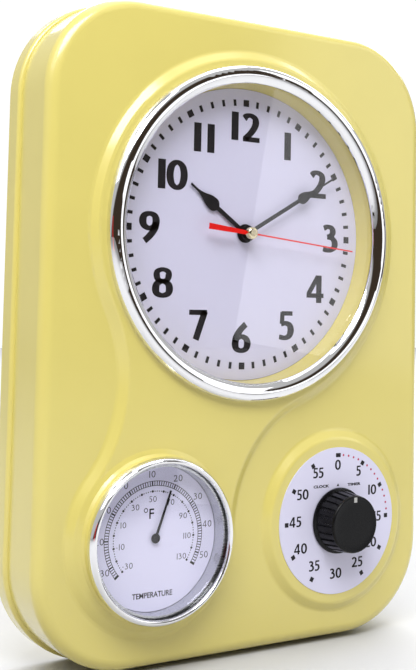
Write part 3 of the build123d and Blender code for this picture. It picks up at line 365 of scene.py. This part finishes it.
@dataclass
class Ink:
    """Printed film gathered as flat ribbons, laid down as one thin piece.

    Attributes:
        height: height of the printed face, in millimetres.
        centre: (x, z) of the dial's centre, in millimetres.
        film: thickness of the print, in millimetres.
    """

    height: float
    centre: tuple[float, float]
    film: float = 0.03
    strips: list[np.ndarray] = field(default_factory=list)

    def ribbon(self, left: np.ndarray, right: np.ndarray) -> None:
        """Adds one ribbon between two edges with the same number of points."""
        self.strips.append(np.stack([left, right], axis=1))

    def bar(self, radius: float, degrees: float, wide: float, tall: float) -> None:
        """Adds a bar centred at a radius and a clockwise angle, its tall side along the radius."""
        turn = math.radians(degrees)
        out = np.array([math.sin(turn), math.cos(turn)])
        side = np.array([math.cos(turn), -math.sin(turn)])
        inner, outer = out * (radius - tall / 2), out * (radius + tall / 2)
        low, high = side * wide / -2, side * wide / 2
        self.ribbon(np.array([inner + low, outer + low]), np.array([inner + high, outer + high]))

    def arc(self, inner: float, outer: float, start: float, stop: float, steps: int) -> None:
        """Adds part of a ring: both edges are circles about the centre, from start to stop clockwise."""
        turn = np.radians(np.linspace(start, stop, steps))
        out = np.stack([np.sin(turn), np.cos(turn)], axis=-1)
        self.ribbon(out * inner, out * outer)

    def dot(self, across: float, up: float, radius: float, sides: int = 16) -> None:
        """Adds a round dot as a ribbon whose two edges are a circle's left and right halves."""
        fall = np.linspace(0, math.pi, sides // 2 + 1)
        half = np.stack([np.sin(fall), np.cos(fall)], axis=-1) * radius
        middle = np.array([across, up])
        self.ribbon(middle + half * (-1, 1), middle + half)

    def lay(self, name: str, finish: Finish) -> bpy.types.Object:
        """Makes one closed thin piece from the ribbons gathered.

        Every ribbon becomes a shell: its points at the printed face and again one film higher, with
        quads over the top, underneath, along both edges and across both ends.

        Args:
            name: the piece's name.
            finish: the ink.

        Returns:
            The finished piece.
        """
        points, faces, start = [], [], 0
        for strip in self.strips:
            rows = len(strip)
            flat = strip.reshape(-1, 2) + np.array(self.centre)
            low = on_dial(flat[:, 0], flat[:, 1], self.height + PRINT_GAP)
            high = on_dial(flat[:, 0], flat[:, 1], self.height + PRINT_GAP + self.film)
            size = 2 * rows
            top = grid_faces(rows, 2, start + size)
            under = grid_faces(rows, 2, start)[:, ::-1]
            step = np.arange(rows - 1) * 2 + start
            left = np.stack([step, step + 2, step + 2 + size, step + size], axis=-1)
            right = np.stack([step + 1, step + 1 + size, step + 3 + size, step + 3], axis=-1)
            last = start + size - 2
            ends = np.array([[start, start + size, start + size + 1, start + 1],
                             [last, last + 1, last + 1 + size, last + size]])
            points.append(np.concatenate([low, high]))
            faces.append(np.concatenate([top, under, left, right, ends]))
            start += 2 * size
        piece = make_piece(name, np.concatenate(points), np.concatenate(faces), "case")
        recalculate_outwards(piece)
        finish.dress(piece)
        log.info("%s: %d ribbons", name, len(self.strips))
        return piece


def recalculate_outwards(piece: bpy.types.Object) -> None:
    """Turns every face of a closed piece outwards.

    Args:
        piece: a mesh object of closed shells.
    """
    work = bmesh.new()
    work.from_mesh(piece.data)
    bmesh.ops.recalc_face_normals(work, faces=work.faces)
    work.to_mesh(piece.data)
    work.free()


# ---------------------------------------------------------------- numerals
@dataclass(frozen=True)
class Stroke:
    """One pen stroke of a numeral in a box one unit tall.

    Attributes:
        places: points that the stroke's middle passes through, as (across, up).
        curved: True for a smooth curve through them, False for straight runs.
        closed: True if the stroke joins its own start.
        weight: scale of the pen's width.
    """

    places: tuple[tuple[float, float], ...]
    curved: bool = True
    closed: bool = False
    weight: float = 1.0


def flow(places: np.ndarray, closed: bool, steps: int = 8) -> np.ndarray:
    """Points along a Catmull-Rom curve: each span is the cubic through its ends whose slopes there
    are half the difference of the neighbouring points."""
    count = len(places)
    if closed:
        padded = np.concatenate([places[-1:], places, places[:2]])
        spans = count
    else:
        padded = np.concatenate([2 * places[:1] - places[1:2], places, 2 * places[-1:] - places[-2:-1]])
        spans = count - 1
    t = np.linspace(0, 1, steps, endpoint=False)[None, :, None]
    a, b, c, d = (padded[k : k + spans][:, None, :] for k in range(4))
    curve = 0.5 * (2 * b + (c - a) * t + (2 * a - 5 * b + 4 * c - d) * t**2 + (3 * b - a - 3 * c + d) * t**3)
    line = curve.reshape(-1, 2)
    return np.concatenate([line, line[:1]]) if closed else np.concatenate([line, places[-1:]])


NUMERALS: dict[str, tuple[Stroke, ...]] = {
    "0": (Stroke(((0.39, 0.93), (0.18, 0.80), (0.11, 0.5), (0.18, 0.20), (0.39, 0.07), (0.60, 0.20),
                  (0.67, 0.5), (0.60, 0.80)), closed=True),),
    "1": (Stroke(((0.14, 0.0), (0.14, 1.0)), curved=False, weight=1.04),),
    "2": (Stroke(((0.05, 0.80), (0.16, 0.90), (0.33, 0.925), (0.50, 0.84), (0.545, 0.68), (0.48, 0.50),
                  (0.33, 0.30), (0.10, 0.085))),
          Stroke(((0.0, 0.075), (0.72, 0.075)), curved=False, weight=1.1)),
    "3": (Stroke(((0.06, 0.865), (0.22, 0.93), (0.40, 0.89), (0.475, 0.755), (0.40, 0.62), (0.22, 0.55))),
          Stroke(((0.22, 0.55), (0.44, 0.51), (0.57, 0.36), (0.535, 0.18), (0.37, 0.08), (0.20, 0.065),
                  (0.03, 0.11)))),
    "4": (Stroke(((0.56, 0.0), (0.56, 1.0)), curved=False, weight=0.86),
          Stroke(((0.50, 0.955), (0.08, 0.31)), curved=False, weight=0.74),
          Stroke(((0.0, 0.265), (0.78, 0.265)), curved=False, weight=1.0)),
    "5": (Stroke(((0.12, 0.935), (0.60, 0.935)), curved=False, weight=0.98),
          Stroke(((0.155, 0.98), (0.135, 0.56)), curved=False, weight=0.66),
          Stroke(((0.10, 0.555), (0.28, 0.585), (0.46, 0.52), (0.53, 0.34), (0.46, 0.15), (0.28, 0.065),
                  (0.02, 0.10)))),
    "6": (Stroke(((0.56, 0.98), (0.34, 0.78), (0.18, 0.55), (0.125, 0.34))),
          Stroke(((0.37, 0.55), (0.19, 0.47), (0.125, 0.31), (0.19, 0.13), (0.38, 0.062), (0.57, 0.13),
                  (0.64, 0.31), (0.56, 0.48)), closed=True)),
    "7": (Stroke(((0.0, 0.925), (0.72, 0.925)), curved=False, weight=1.1),
          Stroke(((0.635, 0.97), (0.46, 0.50), (0.28, 0.0)), curved=False, weight=0.92)),
    "8": (Stroke(((0.38, 0.935), (0.19, 0.87), (0.145, 0.74), (0.21, 0.60), (0.38, 0.53), (0.55, 0.60),
                  (0.61, 0.74), (0.57, 0.87)), closed=True, weight=0.88),
          Stroke(((0.38, 0.54), (0.18, 0.46), (0.115, 0.29), (0.18, 0.13), (0.38, 0.065), (0.58, 0.13),
                  (0.65, 0.29), (0.58, 0.46)), closed=True)),
    "-": (Stroke(((0.0, 0.42), (0.30, 0.42)), curved=False, weight=0.8),),
}
ADVANCE = {"0": 0.78, "1": 0.28, "2": 0.72, "3": 0.68, "4": 0.80, "5": 0.64, "6": 0.76, "7": 0.72, "8": 0.76,
           "9": 0.76, "-": 0.36}


@dataclass(frozen=True)
class Pen:
    """A broad pen.

    Attributes:
        upright: full width of upright strokes, as a share of the numeral's height.
        level: full width of level strokes.
        gap: space between two numerals.
        pair_gap: space between two numerals where the pair is set differently.
    """

    upright: float
    level: float
    gap: float = 0.10
    pair_gap: tuple[tuple[str, float], ...] = ()

    def space(self, pair: str) -> float:
        """The space inside this pair of numerals."""
        return dict(self.pair_gap).get(pair, self.gap)


HEAVY_PEN = Pen(upright=0.285, level=0.16, pair_gap=(("11", 0.263), ("12", 0.20), ("10", 0.07)))
MEDIUM_PEN = Pen(upright=0.235, level=0.155, gap=0.10)
LIGHT_PEN = Pen(upright=0.125, level=0.10, gap=0.15)


@dataclass(frozen=True)
class Numbers:
    """Writes numbers as ribbons, one per stroke.

    Attributes:
        pen: the pen's widths.
        tall: the numerals' height in millimetres.
        stretch: width scale.
    """

    pen: Pen
    tall: float
    stretch: float = 1.0

    def width(self, text: str) -> float:
        """The written width in units of the height, before stretching."""
        gaps = sum(self.pen.space(text[k : k + 2]) for k in range(len(text) - 1))
        return sum(ADVANCE[sign] for sign in text) + gaps

    def write(self, ink: Ink, text: str, across: float, up: float) -> None:
        """Writes a number centred on a place.

        Each stroke's middle line is sampled, and its edges lie half the pen's width to either side
        along the normal. The width is level + (upright - level) times how steeply the stroke climbs.

        Args:
            ink: where the ribbons go.
            text: the number.
            across: x of its middle, from the dial's centre.
            up: z of its middle.
        """
        cursor = -self.width(text) / 2
        for place, sign in enumerate(text):
            turned = sign == "9"
            for stroke in NUMERALS["6" if turned else sign]:
                places = np.array(stroke.places)
                if turned:
                    places = np.array([ADVANCE["6"], 1.0]) - places
                line = flow(places, stroke.closed) if stroke.curved else places
                left, right = self._edges(line, stroke)
                shift = np.array([cursor, -0.5])
                scale = np.array([self.tall * self.stretch, self.tall])
                middle = np.array([across, up])
                ink.ribbon((left + shift) * scale + middle, (right + shift) * scale + middle)
            cursor += ADVANCE[sign] + self.pen.space(text[place : place + 2])

    def _edges(self, line: np.ndarray, stroke: Stroke) -> tuple[np.ndarray, np.ndarray]:
        """The two edges of a stroke: the middle line moved along its normal by half the pen's width."""
        along = np.gradient(line, axis=0)
        if stroke.closed:
            along[0] = along[-1] = line[1] - line[-2]
        along /= np.linalg.norm(along, axis=1, keepdims=True)
        normal = np.stack([-along[:, 1], along[:, 0]], axis=-1)
        width = self.pen.level + (self.pen.upright - self.pen.level) * np.abs(along[:, 1]) ** 1.5
        half = normal * (width * stroke.weight / 2)[:, None]
        return line + half, line - half


def letters(name: str, text: str, tall: float, centre: tuple[float, float], height: float, wide: float = 1.0,
            weight: float = 0.0) -> bpy.types.Object:
    """Small generic lettering as a flat mesh on a dial.

    Args:
        name: the piece's name.
        text: the words.
        tall: letter height in millimetres.
        centre: (x, z) of the middle of the words.
        height: height of the face they lie on.
        wide: width scale.
        weight: how much the strokes are thickened, in units of the letter height.

    Returns:
        The finished piece, riding on the case.
    """
    curve = bpy.data.curves.new(name, "FONT")
    curve.body = text
    curve.align_x, curve.align_y = "CENTER", "CENTER"
    curve.offset = weight
    curve.resolution_u = 3
    source = bpy.data.objects.new(name, curve)
    mesh = bpy.data.meshes.new_from_object(source)
    bpy.data.objects.remove(source)
    scale = tall * MM / CAPITAL_SHARE
    place = Matrix.Translation((centre[0] * MM, -(height + LETTER_GAP) * MM, centre[1] * MM))
    stand = Matrix.Rotation(math.pi / 2, 4, "X")
    mesh.transform(place @ stand @ Matrix.Diagonal((scale * wide, scale, scale, 1)))
    piece = bpy.data.objects.new(name, mesh)
    bpy.context.scene.collection.objects.link(piece)
    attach(piece, "case")
    PRINT_BLACK.dress(piece)
    log.info("%s: %d faces", name, len(mesh.polygons))
    return piece


# ---------------------------------------------------------------- sub-assemblies
@dataclass
class Case:
    """The moulded case, its cover and what holds them to the wall."""

    def dress(self) -> None:
        """Dresses the case's nodes."""
        nodes = frame["nodes"]
        YELLOW_CASE.dress(nodes["front_case"])
        YELLOW_COVER.dress(nodes["rear_cover"])
        ZINC.dress(nodes["hanger_plate"], nodes["case_screws"])
        log.info("case dressed")


@dataclass
class ClockDial:
    """The large dial: sixty marks, twelve numbers, three hands, and the glass in its chrome ring.

    Attributes:
        centre: (x, z) of the spindle.
        face: height of the printed face.
        mark_radius: radius of the marks' centres.
        square: side of the square marks at the hours.
        bar: (width, length) of the other marks.
        numeral: height of the numbers.
        places: where each number's middle is, from the spindle.
    """

    centre: tuple[float, float] = (0.0, 50.5)
    face: float = 34.0
    mark_radius: float = 70.0
    square: float = 3.6
    bar: tuple[float, float] = (1.75, 3.5)
    numeral: float = 15.2
    places: dict[str, tuple[float, float]] = field(
        default_factory=lambda: {
            "12": (0.0, 57.2),
            "1": (28.0, 49.4),
            "2": (49.6, 30.1),
            "3": (58.3, 0.3),
            "4": (48.6, -28.2),
            "5": (28.8, -48.5),
            "6": (-0.5, -55.3),
            "7": (-27.8, -48.7),
            "8": (-49.5, -27.4),
            "9": (-58.0, 0.5),
            "10": (-45.0, 28.0),
            "11": (-26.2, 48.9),
        }
    )

    def dress(self) -> None:
        """Prints the dial and dresses the nodes round it."""
        ink = Ink(self.face, self.centre)
        for minute in range(60):
            if minute % 5:
                ink.bar(self.mark_radius, minute * 6, *self.bar)
            else:
                ink.bar(self.mark_radius, minute * 6, self.square, self.square)
        writer = Numbers(HEAVY_PEN, self.numeral)
        for text, (across, up) in self.places.items():
            writer.write(ink, text, across, up)
        ink.lay("clock_print", PRINT_BLACK)
        nodes = frame["nodes"]
        DIAL_WHITE.dress(nodes["clock_dial"])
        CHROME.dress(nodes["clock_bezel"])
        GLAZING.dress(nodes["clock_lens"])
        HAND_BLACK.dress(nodes["hour_hand"], nodes["minute_hand"])
        HAND_RED.dress(nodes["second_hand"])
        CAP_GOLD.dress(nodes["centre_cap"])


@dataclass
class QuartzMovement:
    """The movement behind the dial, with its wheels, its electrics and the battery."""

    def dress(self) -> None:
        """Dresses the movement's nodes by what each is made of."""
        made_of = {
            HOUSING_BLACK: ("movement_housing", "movement_cover"),
            NATURAL_PLASTIC: ("train_bridge", "setting_knob"),
            ACETAL: ("rotor", "fourth_wheel", "second_wheel", "third_wheel", "centre_wheel", "minute_wheel",
                     "hour_wheel"),
            BRASS: ("cannon_pinion", "fixing_nut"),
            ZINC: ("battery_contacts", "quartz_crystal"),
            SOFT_IRON: ("stator",),
            COPPER: ("coil",),
            SOLDER_GREEN: ("circuit_board",),
            BATTERY_SLEEVE: ("battery",),
            RUBBER: ("rubber_washer",),
        }
        for finish, names in made_of.items():
            finish.dress(*(frame["nodes"][name] for name in names))
        log.info("movement dressed")


@dataclass
class Thermometer:
    """The small dial thermometer: two scales round one track, a pointer and a domed glass.

    Attributes:
        centre: (x, z) of the arbor.
        face: height of the printed face.
        per_degree: clockwise degrees of arc per degree Fahrenheit.
        fifty: clockwise angle of fifty degrees Fahrenheit.
        track: (inner, outer) radius of the track's two lines.
        line: width of those lines.
        dots: radius of the ring of dots.
        lowest: lowest temperature on the scale, in degrees Fahrenheit.
        highest: highest temperature on the scale, in degrees Fahrenheit.
        rungs: width of the track's cross lines, at one and at ten degrees Celsius.
        end_bar: width of the bars that close the track.
        dot_radii: radius of the dots, at two and at ten degrees Fahrenheit.
        inner_numbers: radius of the Fahrenheit numbers.
        inner_tall: height of the Fahrenheit numbers.
        outer_numbers: radius of the Celsius numbers.
        outer_tall: height of the Celsius numbers.
        stretch: width scale of all these numbers.
        degree_place: middle of the degree sign, from the arbor.
        degree_ring: (inner, outer) radius of the degree sign.
    """

    centre: tuple[float, float] = (-56.5, -102.2)
    face: float = 43.4
    per_degree: float = 1.58
    fifty: float = -3.5
    track: tuple[float, float] = (25.2, 27.7)
    line: float = 0.28
    dots: float = 22.6
    lowest: int = -30
    highest: int = 130
    rungs: tuple[float, float] = (0.42, 0.72)
    end_bar: float = 0.8
    dot_radii: tuple[float, float] = (0.3, 0.62)
    inner_numbers: float = 18.9
    inner_tall: float = 2.9
    outer_numbers: float = 31.0
    outer_tall: float = 3.3
    stretch: float = 0.95
    degree_place: tuple[float, float] = (-5.0, 13.6)
    degree_ring: tuple[float, float] = (0.75, 1.15)

    def angle(self, fahrenheit: float) -> float:
        """The clockwise angle of a temperature on the scale."""
        return self.fifty + (fahrenheit - 50) * self.per_degree

    def dress(self) -> None:
        """Prints the scales and dresses the thermometer's nodes."""
        ink = Ink(self.face, self.centre)
        self._print_track(ink)
        self._print_numbers(ink)
        self._print_degree_ring(ink)
        ink.lay("thermo_print", PRINT_BLACK)
        x, z = self.centre
        letters("thermo_unit", "F", 5.0, (x - 1.9, z + 11.6), self.face, weight=0.012)
        letters("thermo_word", "TEMPERATURE", 2.7, (x - 0.3, z - 27.3), self.face, wide=0.93, weight=0.02)
        nodes = frame["nodes"]
        THERMO_WHITE.dress(nodes["thermo_dial"])
        CHROME.dress(nodes["thermo_bezel"])
        GLAZING.dress(nodes["thermo_lens"])
        ZINC.dress(nodes["thermo_can"], nodes["thermo_retainer"], nodes["thermo_bracket"])
        BRASS.dress(nodes["coil_stud"])
        SPRING_STEEL.dress(nodes["bimetal_coil"])
        HAND_BLACK.dress(nodes["thermo_pointer"], nodes["thermo_arbor"])

    def _print_track(self, ink: Ink) -> None:
        """Prints the track with a line at each degree Celsius, and the ring of dots inside it.

        Args:
            ink: where the print is gathered.
        """
        inner, outer = self.track
        start, stop = self.angle(self.lowest), self.angle(self.highest)
        ink.arc(inner, inner + self.line, start, stop, 120)
        ink.arc(outer - self.line, outer, start, stop, 120)
        middle = (inner + outer) / 2
        thin, thick = self.rungs
        for celsius in range(-34, 55):
            degrees = self.angle(celsius * 1.8 + 32)
            ink.bar(middle, degrees, thick if celsius % 10 == 0 else thin, outer - inner)
        for end in (start, stop):
            ink.bar(middle, end, self.end_bar, outer - inner + 0.3)
        small, large = self.dot_radii
        for fahrenheit in range(self.lowest, self.highest + 1, 2):
            turn = math.radians(self.angle(fahrenheit))
            radius = large if fahrenheit % 10 == 0 else small
            ink.dot(self.dots * math.sin(turn), self.dots * math.cos(turn), radius, sides=10)

    def _print_numbers(self, ink: Ink) -> None:
        """Prints the Fahrenheit numbers inside the dots and the Celsius numbers outside the track.

        Args:
            ink: where the print is gathered.
        """
        small = Numbers(LIGHT_PEN, self.inner_tall, self.stretch)
        for fahrenheit in range(self.lowest, self.highest + 1, 20):
            self._number(ink, small, str(fahrenheit), self.inner_numbers, self.angle(fahrenheit))
        large = Numbers(LIGHT_PEN, self.outer_tall, self.stretch)
        for celsius in range(-30, 51, 10):
            self._number(ink, large, str(celsius), self.outer_numbers, self.angle(celsius * 1.8 + 32))

    def _print_degree_ring(self, ink: Ink) -> None:
        """Prints the small ring of the degree sign beside the unit's letter.

        Args:
            ink: where the print is gathered.
        """
        ring = np.linspace(0, 2 * math.pi, 25)
        round_line = np.stack([np.cos(ring), np.sin(ring)], axis=-1)
        inside, outside = self.degree_ring
        spot = np.array(self.degree_place)
        ink.ribbon(spot + round_line * outside, spot + round_line * inside)

    def _number(self, ink: Ink, writer: Numbers, text: str, radius: float, degrees: float) -> None:
        """Writes a number upright with its middle at a radius and a clockwise angle."""
        turn = math.radians(degrees)
        writer.write(ink, text, radius * math.sin(turn), radius * math.cos(turn))


@dataclass
class Timer:
    """The minute timer: its printed dial, the fluted knob and the works behind.

    Attributes:
        centre: (x, z) of the arbor.
        face: height of the printed face.
        marks: radius of the marks.
        mark: (width, length) of a mark.
        zero_mark: (width, length) of the mark at zero.
        zero_out: how much further out the mark at zero is.
        dots: radius of the ring of red dots.
        dot_radius: radius of a red dot.
        numeral: height of the numbers.
        arrow: radius of the foot and of the tip of the small arrow between the words.
        flutes: grooves round the knob.
        flute_points: points round the knob for each groove.
        groove: depth of a groove.
        places: where each number's middle is, from the arbor.
    """

    centre: tuple[float, float] = (57.0, -102.4)
    face: float = 45.45
    marks: float = 34.3
    mark: tuple[float, float] = (2.3, 2.4)
    zero_mark: tuple[float, float] = (3.3, 2.2)
    zero_out: float = 0.5
    dots: float = 34.8145
    dot_radius: float = 0.62
    numeral: float = 5.4
    arrow: tuple[float, float] = (18.2, 19.6)
    flutes: int = 24
    flute_points: int = 14
    groove: float = 0.95
    places: dict[str, tuple[float, float]] = field(
        default_factory=lambda: {
            "0": (-0.2, 29.6),
            "5": (14.4, 25.6),
            "10": (24.3, 14.8),
            "15": (28.2, 0.1),
            "20": (23.5, -13.7),
            "25": (14.1, -23.5),
            "30": (-0.9, -28.1),
            "35": (-15.6, -22.8),
            "40": (-24.9, -13.0),
            "45": (-28.6, 1.2),
            "50": (-23.9, 15.2),
            "55": (-13.6, 26.0),
        }
    )

    def dress(self) -> None:
        """Prints the dial, makes the knob and dresses the timer's nodes."""
        ink = Ink(self.face, self.centre)
        for minute in range(0, 60, 5):
            if minute == 30:
                continue
            out, size = (self.zero_out, self.zero_mark) if minute == 0 else (0, self.mark)
            ink.bar(self.marks + out, minute * 6, *size)
        writer = Numbers(MEDIUM_PEN, self.numeral, stretch=0.94)
        for text, (across, up) in self.places.items():
            writer.write(ink, text, across, up)
        foot, tip = self.arrow
        ink.ribbon(np.array([(-0.9, foot), (-0.05, tip)]), np.array([(0.9, foot), (0.05, tip)]))
        ink.lay("timer_print", PRINT_BLACK)
        red = Ink(self.face, self.centre)
        for minute in range(1, 15):
            if minute % 5:
                turn = math.radians(minute * 6)
                red.dot(self.dots * math.sin(turn), self.dots * math.cos(turn), self.dot_radius, sides=12)
        red.lay("timer_dots", PRINT_RED)
        x, z = self.centre
        letters("timer_word_left", "CLOCK", 1.4, (x - 11.6, z + 18.6), self.face, wide=1.6, weight=0.05)
        letters("timer_word_right", "TIMER", 1.4, (x + 11.2, z + 18.5), self.face, wide=1.7, weight=0.05)
        knob = self.make_knob()
        KNOB_BLACK.dress(knob)
        nodes = frame["nodes"]
        DIAL_WHITE.dress(nodes["timer_dial"])
        INDEX_CREAM.dress(nodes["knob_index"])
        ZINC.dress(nodes["timer_front_plate"], nodes["timer_rear_plate"], nodes["timer_screws"],
                   nodes["pallet_lever"], nodes["hammer"])
        BRASS.dress(nodes["timer_arbor"], nodes["main_gear"], nodes["timer_pillars"], nodes["spring_stud"],
                    nodes["timer_second_gear"], nodes["timer_third_gear"], nodes["escape_wheel"],
                    nodes["bell_post"])
        SPRING_STEEL.dress(nodes["mainspring"])
        CHROME.dress(nodes["bell"])

    def make_knob(self) -> bpy.types.Object:
        """Makes the knob as one surface of revolution with grooves pressed into its side.

        The surface is a function of the way along the profile and the angle. Its radius is the
        profile's, less the groove depth times a groove shape in the angle (a smooth step of the
        cosine of the angle times the number of flutes) times a window in height that closes the
        grooves at the skirt and at the rim.

        Returns:
            The knob, riding on the timer's body in place of its node.
        """
        profile = np.array(
            [(3.1, 45.95), (16.6, 45.95), (17.35, 46.05), (17.5, 46.3), (17.48, 46.9), (17.3, 47.3),
             (16.6, 47.62), (16.15, 47.75), (16.1, 48.0), (16.05, 49.0), (15.9, 51.0), (15.7, 53.0),
             (15.45, 55.5), (15.2, 57.6), (15.08, 58.9), (15.02, 59.5), (14.9, 60.0), (14.65, 60.35),
             (14.25, 60.48), (13.9, 60.44), (13.6, 60.36), (10.0, 60.36), (5.0, 60.36), (0.0, 60.36)]
        )
        turns = self.flutes * self.flute_points
        angle = np.linspace(0, 2 * math.pi, turns, endpoint=False)
        groove = smoothstep((np.cos(angle * self.flutes) - 0.25) / 0.45)
        window = smoothstep((profile[:, 1] - 47.7) / 0.5) * smoothstep((59.3 - profile[:, 1]) / 0.9)
        radius = profile[:, :1] - self.groove * window[:, None] * groove[None, :]
        height = np.broadcast_to(profile[:, 1:], radius.shape)
        x, z = self.centre
        points = on_dial(x + radius * np.cos(angle), z + radius * np.sin(angle), height).reshape(-1, 3)
        rows = len(profile)
        step = np.arange(turns)
        following = (step + 1) % turns
        row = np.arange(rows - 1)[:, None] * turns
        faces = np.stack([row + step, row + following, row + turns + following, row + turns + step], axis=-1)
        knob = make_piece("knob_body", points, faces.reshape(-1, 4), "timer")
        weld(knob)
        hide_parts("timer_knob")
        log.info("knob: %d faces", len(knob.data.polygons))
        return knob


def weld(piece: bpy.types.Object) -> None:
    """Merges doubled points, closes the open rim, turns faces outwards and shades the piece smooth.

    Args:
        piece: a mesh object.
    """
    work = bmesh.new()
    work.from_mesh(piece.data)
    bmesh.ops.remove_doubles(work, verts=work.verts, dist=1e-6)
    bmesh.ops.holes_fill(work, edges=[e for e in work.edges if e.is_boundary])
    bmesh.ops.recalc_face_normals(work, faces=work.faces)
    for face in work.faces:
        face.smooth = True
    work.to_mesh(piece.data)
    work.free()
    piece.data.set_sharp_from_angle(angle=math.radians(40))


# ---------------------------------------------------------------- studio
@dataclass(frozen=True)
class SoftBox:
    """A large plain light.

    Attributes:
        name: its name.
        place: its middle, in metres.
        aim: the point it faces.
        size: width and height in metres.
        brightness: radiance of its face.
        lean: degrees it is turned about its own axis, its top going right as seen from the object.
        colour: its colour.
    """

    name: str
    place: tuple[float, float, float]
    aim: tuple[float, float, float]
    size: tuple[float, float]
    brightness: float
    lean: float = 0.0
    colour: tuple[float, float, float] = (0.975, 0.985, 1.02)

    def hang(self) -> None:
        """Adds the light. Its power is brightness times pi times its area."""
        light = bpy.data.lights.new(self.name, "AREA")
        light.shape = "RECTANGLE"
        light.size, light.size_y = self.size
        light.energy = self.brightness * math.pi * self.size[0] * self.size[1]
        light.color = self.colour
        lamp = bpy.data.objects.new(self.name, light)
        bpy.context.scene.collection.objects.link(lamp)
        place, aim = np.array(self.place), np.array(self.aim)
        back = (place - aim) / np.linalg.norm(place - aim)
        side = np.cross((0.0, 0.0, 1.0), back)
        side /= np.linalg.norm(side)
        rise = np.cross(back, side)
        stand = Matrix(np.stack([side, rise, back], axis=1).tolist()).to_4x4()
        turn = Matrix.Rotation(math.radians(self.lean), 4, "Z")
        lamp.matrix_world = Matrix.Translation(place.tolist()) @ stand @ turn


@dataclass
class Studio:
    """The floor, the surrounding light, the soft boxes and the camera.

    Attributes:
        yaw, pitch, roll: the camera's turns in degrees.
        place: the camera's place in metres.
        lens: focal length in millimetres for a 36 mm sensor.
        rise: vertical shift as a share of the frame's long side.
        floor: height of the floor in metres.
        ambient: brightness of the surroundings as they light the object.
        room: the direction of the darkest surroundings.
        room_edge: the cosines from that direction where the dark starts and is full.
        room_colour: colour of the dark.
    """

    yaw: float = -32.74
    pitch: float = 3.98
    roll: float = -1.17
    place: tuple[float, float, float] = (-0.3453, -0.5356, 0.0096)
    lens: float = 61.6
    rise: float = -0.1564
    floor: float = -0.1675
    ambient: float = 0.55
    room: tuple[float, float, float] = (0.0, -0.55, -0.83)
    room_edge: tuple[float, float] = (-0.10, 0.12)
    room_colour: tuple[float, float, float] = (0.045, 0.032, 0.022)

    def build(self) -> None:
        """Builds the studio."""
        bpy.context.scene.view_settings.view_transform = "Standard"
        self._floor()
        self._surroundings()
        for box in (
            SoftBox("key_box", (-0.50, -0.72, 1.00), (0, 0, 0.05), (0.9, 0.6), 10.3),
            SoftBox("left_box", (-1.2, -0.35, 1.0), (0, 0, 0.05), (0.8, 0.7), 1.9),
            SoftBox("right_box", (1.02, -1.0, 0.46), (0.05, -0.04, 0.36), (0.5, 1.1), 1.35, lean=-9.0),
            SoftBox("top_box", (0.2, 0.1, 1.5), (0, 0.1, 0), (1.6, 1.0), 1.2),
            SoftBox("floor_box", (2.1, 1.7, 1.9), (2.1, 1.701, 0), (3.6, 3.6), 4.0),
            SoftBox("red_card", (-1.2, -0.62, 0.02), (0, 0, 0), (0.22, 0.40), 0.55, colour=(1.0, 0.02, 0.04)),
        ):
            box.hang()
        self._camera()

    def _floor(self) -> None:
        """A plain pale floor a little under the clock."""
        reach = np.linspace(-4.0, 4.0, 9)
        across, deep = np.meshgrid(reach, reach)
        points = np.stack([across, deep, np.full_like(across, self.floor)], axis=-1).reshape(-1, 3)
        mesh = bpy.data.meshes.new("floor")
        mesh.from_pydata(points.tolist(), [], grid_faces(9, 9)[:, ::-1].tolist())
        floor = bpy.data.objects.new("floor", mesh)
        bpy.context.scene.collection.objects.link(floor)
        FLOOR_PAPER.dress(floor)

    def _surroundings(self) -> None:
        """Surroundings that look white from the camera, light the object more dimly, and are dark and
        warm in front, like the room around a studio set."""
        world = bpy.data.worlds.new("surroundings")
        bpy.context.scene.world = world
        world.use_nodes = True
        nodes, links = world.node_tree.nodes, world.node_tree.links
        where = nodes.new("ShaderNodeTexCoord")
        ahead = nodes.new("ShaderNodeVectorMath")
        ahead.operation = "DOT_PRODUCT"
        ahead.inputs[1].default_value = self.room
        links.new(where.outputs["Generated"], ahead.inputs[0])
        shade = nodes.new("ShaderNodeValToRGB")
        bright, dark = shade.color_ramp.elements
        bright.position, dark.position = self.room_edge
        bright.color = (self.ambient, self.ambient, self.ambient, 1)
        dark.color = (*self.room_colour, 1)
        links.new(ahead.outputs["Value"], shade.inputs["Fac"])
        ray = nodes.new("ShaderNodeLightPath")
        seen = nodes.new("ShaderNodeMix")
        seen.data_type = "RGBA"
        links.new(ray.outputs["Is Camera Ray"], seen.inputs["Factor"])
        links.new(shade.outputs["Color"], seen.inputs["A"])
        seen.inputs["B"].default_value = (1.05, 1.05, 1.05, 1)
        links.new(seen.outputs["Result"], nodes["Background"].inputs["Color"])

    def _camera(self) -> None:
        """The camera: turned by yaw about up, then pitch about its own right, then roll about its view."""
        yaw, pitch, roll = (math.radians(v) for v in (self.yaw, self.pitch, self.roll))
        turn = Matrix.Rotation(yaw, 3, "Z") @ Matrix.Rotation(pitch, 3, "X") @ Matrix.Rotation(roll, 3, "Y")
        right, forward, up = (turn.col[k].copy() for k in range(3))
        data = bpy.data.cameras.new("camera")
        data.lens = self.lens
        data.sensor_width = 36.0
        data.shift_y = self.rise
        data.clip_start, data.clip_end = 0.01, 50
        camera = bpy.data.objects.new("camera", data)
        bpy.context.scene.collection.objects.link(camera)
        rows = [(right[k], up[k], -forward[k], self.place[k]) for k in range(3)]
        camera.matrix_world = Matrix([*rows, (0, 0, 0, 1)])
        bpy.context.scene.camera = camera


def main() -> None:
    """Builds and dresses each sub-assembly, then the studio."""
    logging.basicConfig(level=logging.INFO, format="%(name)s: %(message)s")
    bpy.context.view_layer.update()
    for part in (Case(), ClockDial(), QuartzMovement(), Thermometer(), Timer()):
        part.dress()
    Studio().build()


if __name__ == "__main__":
    main()
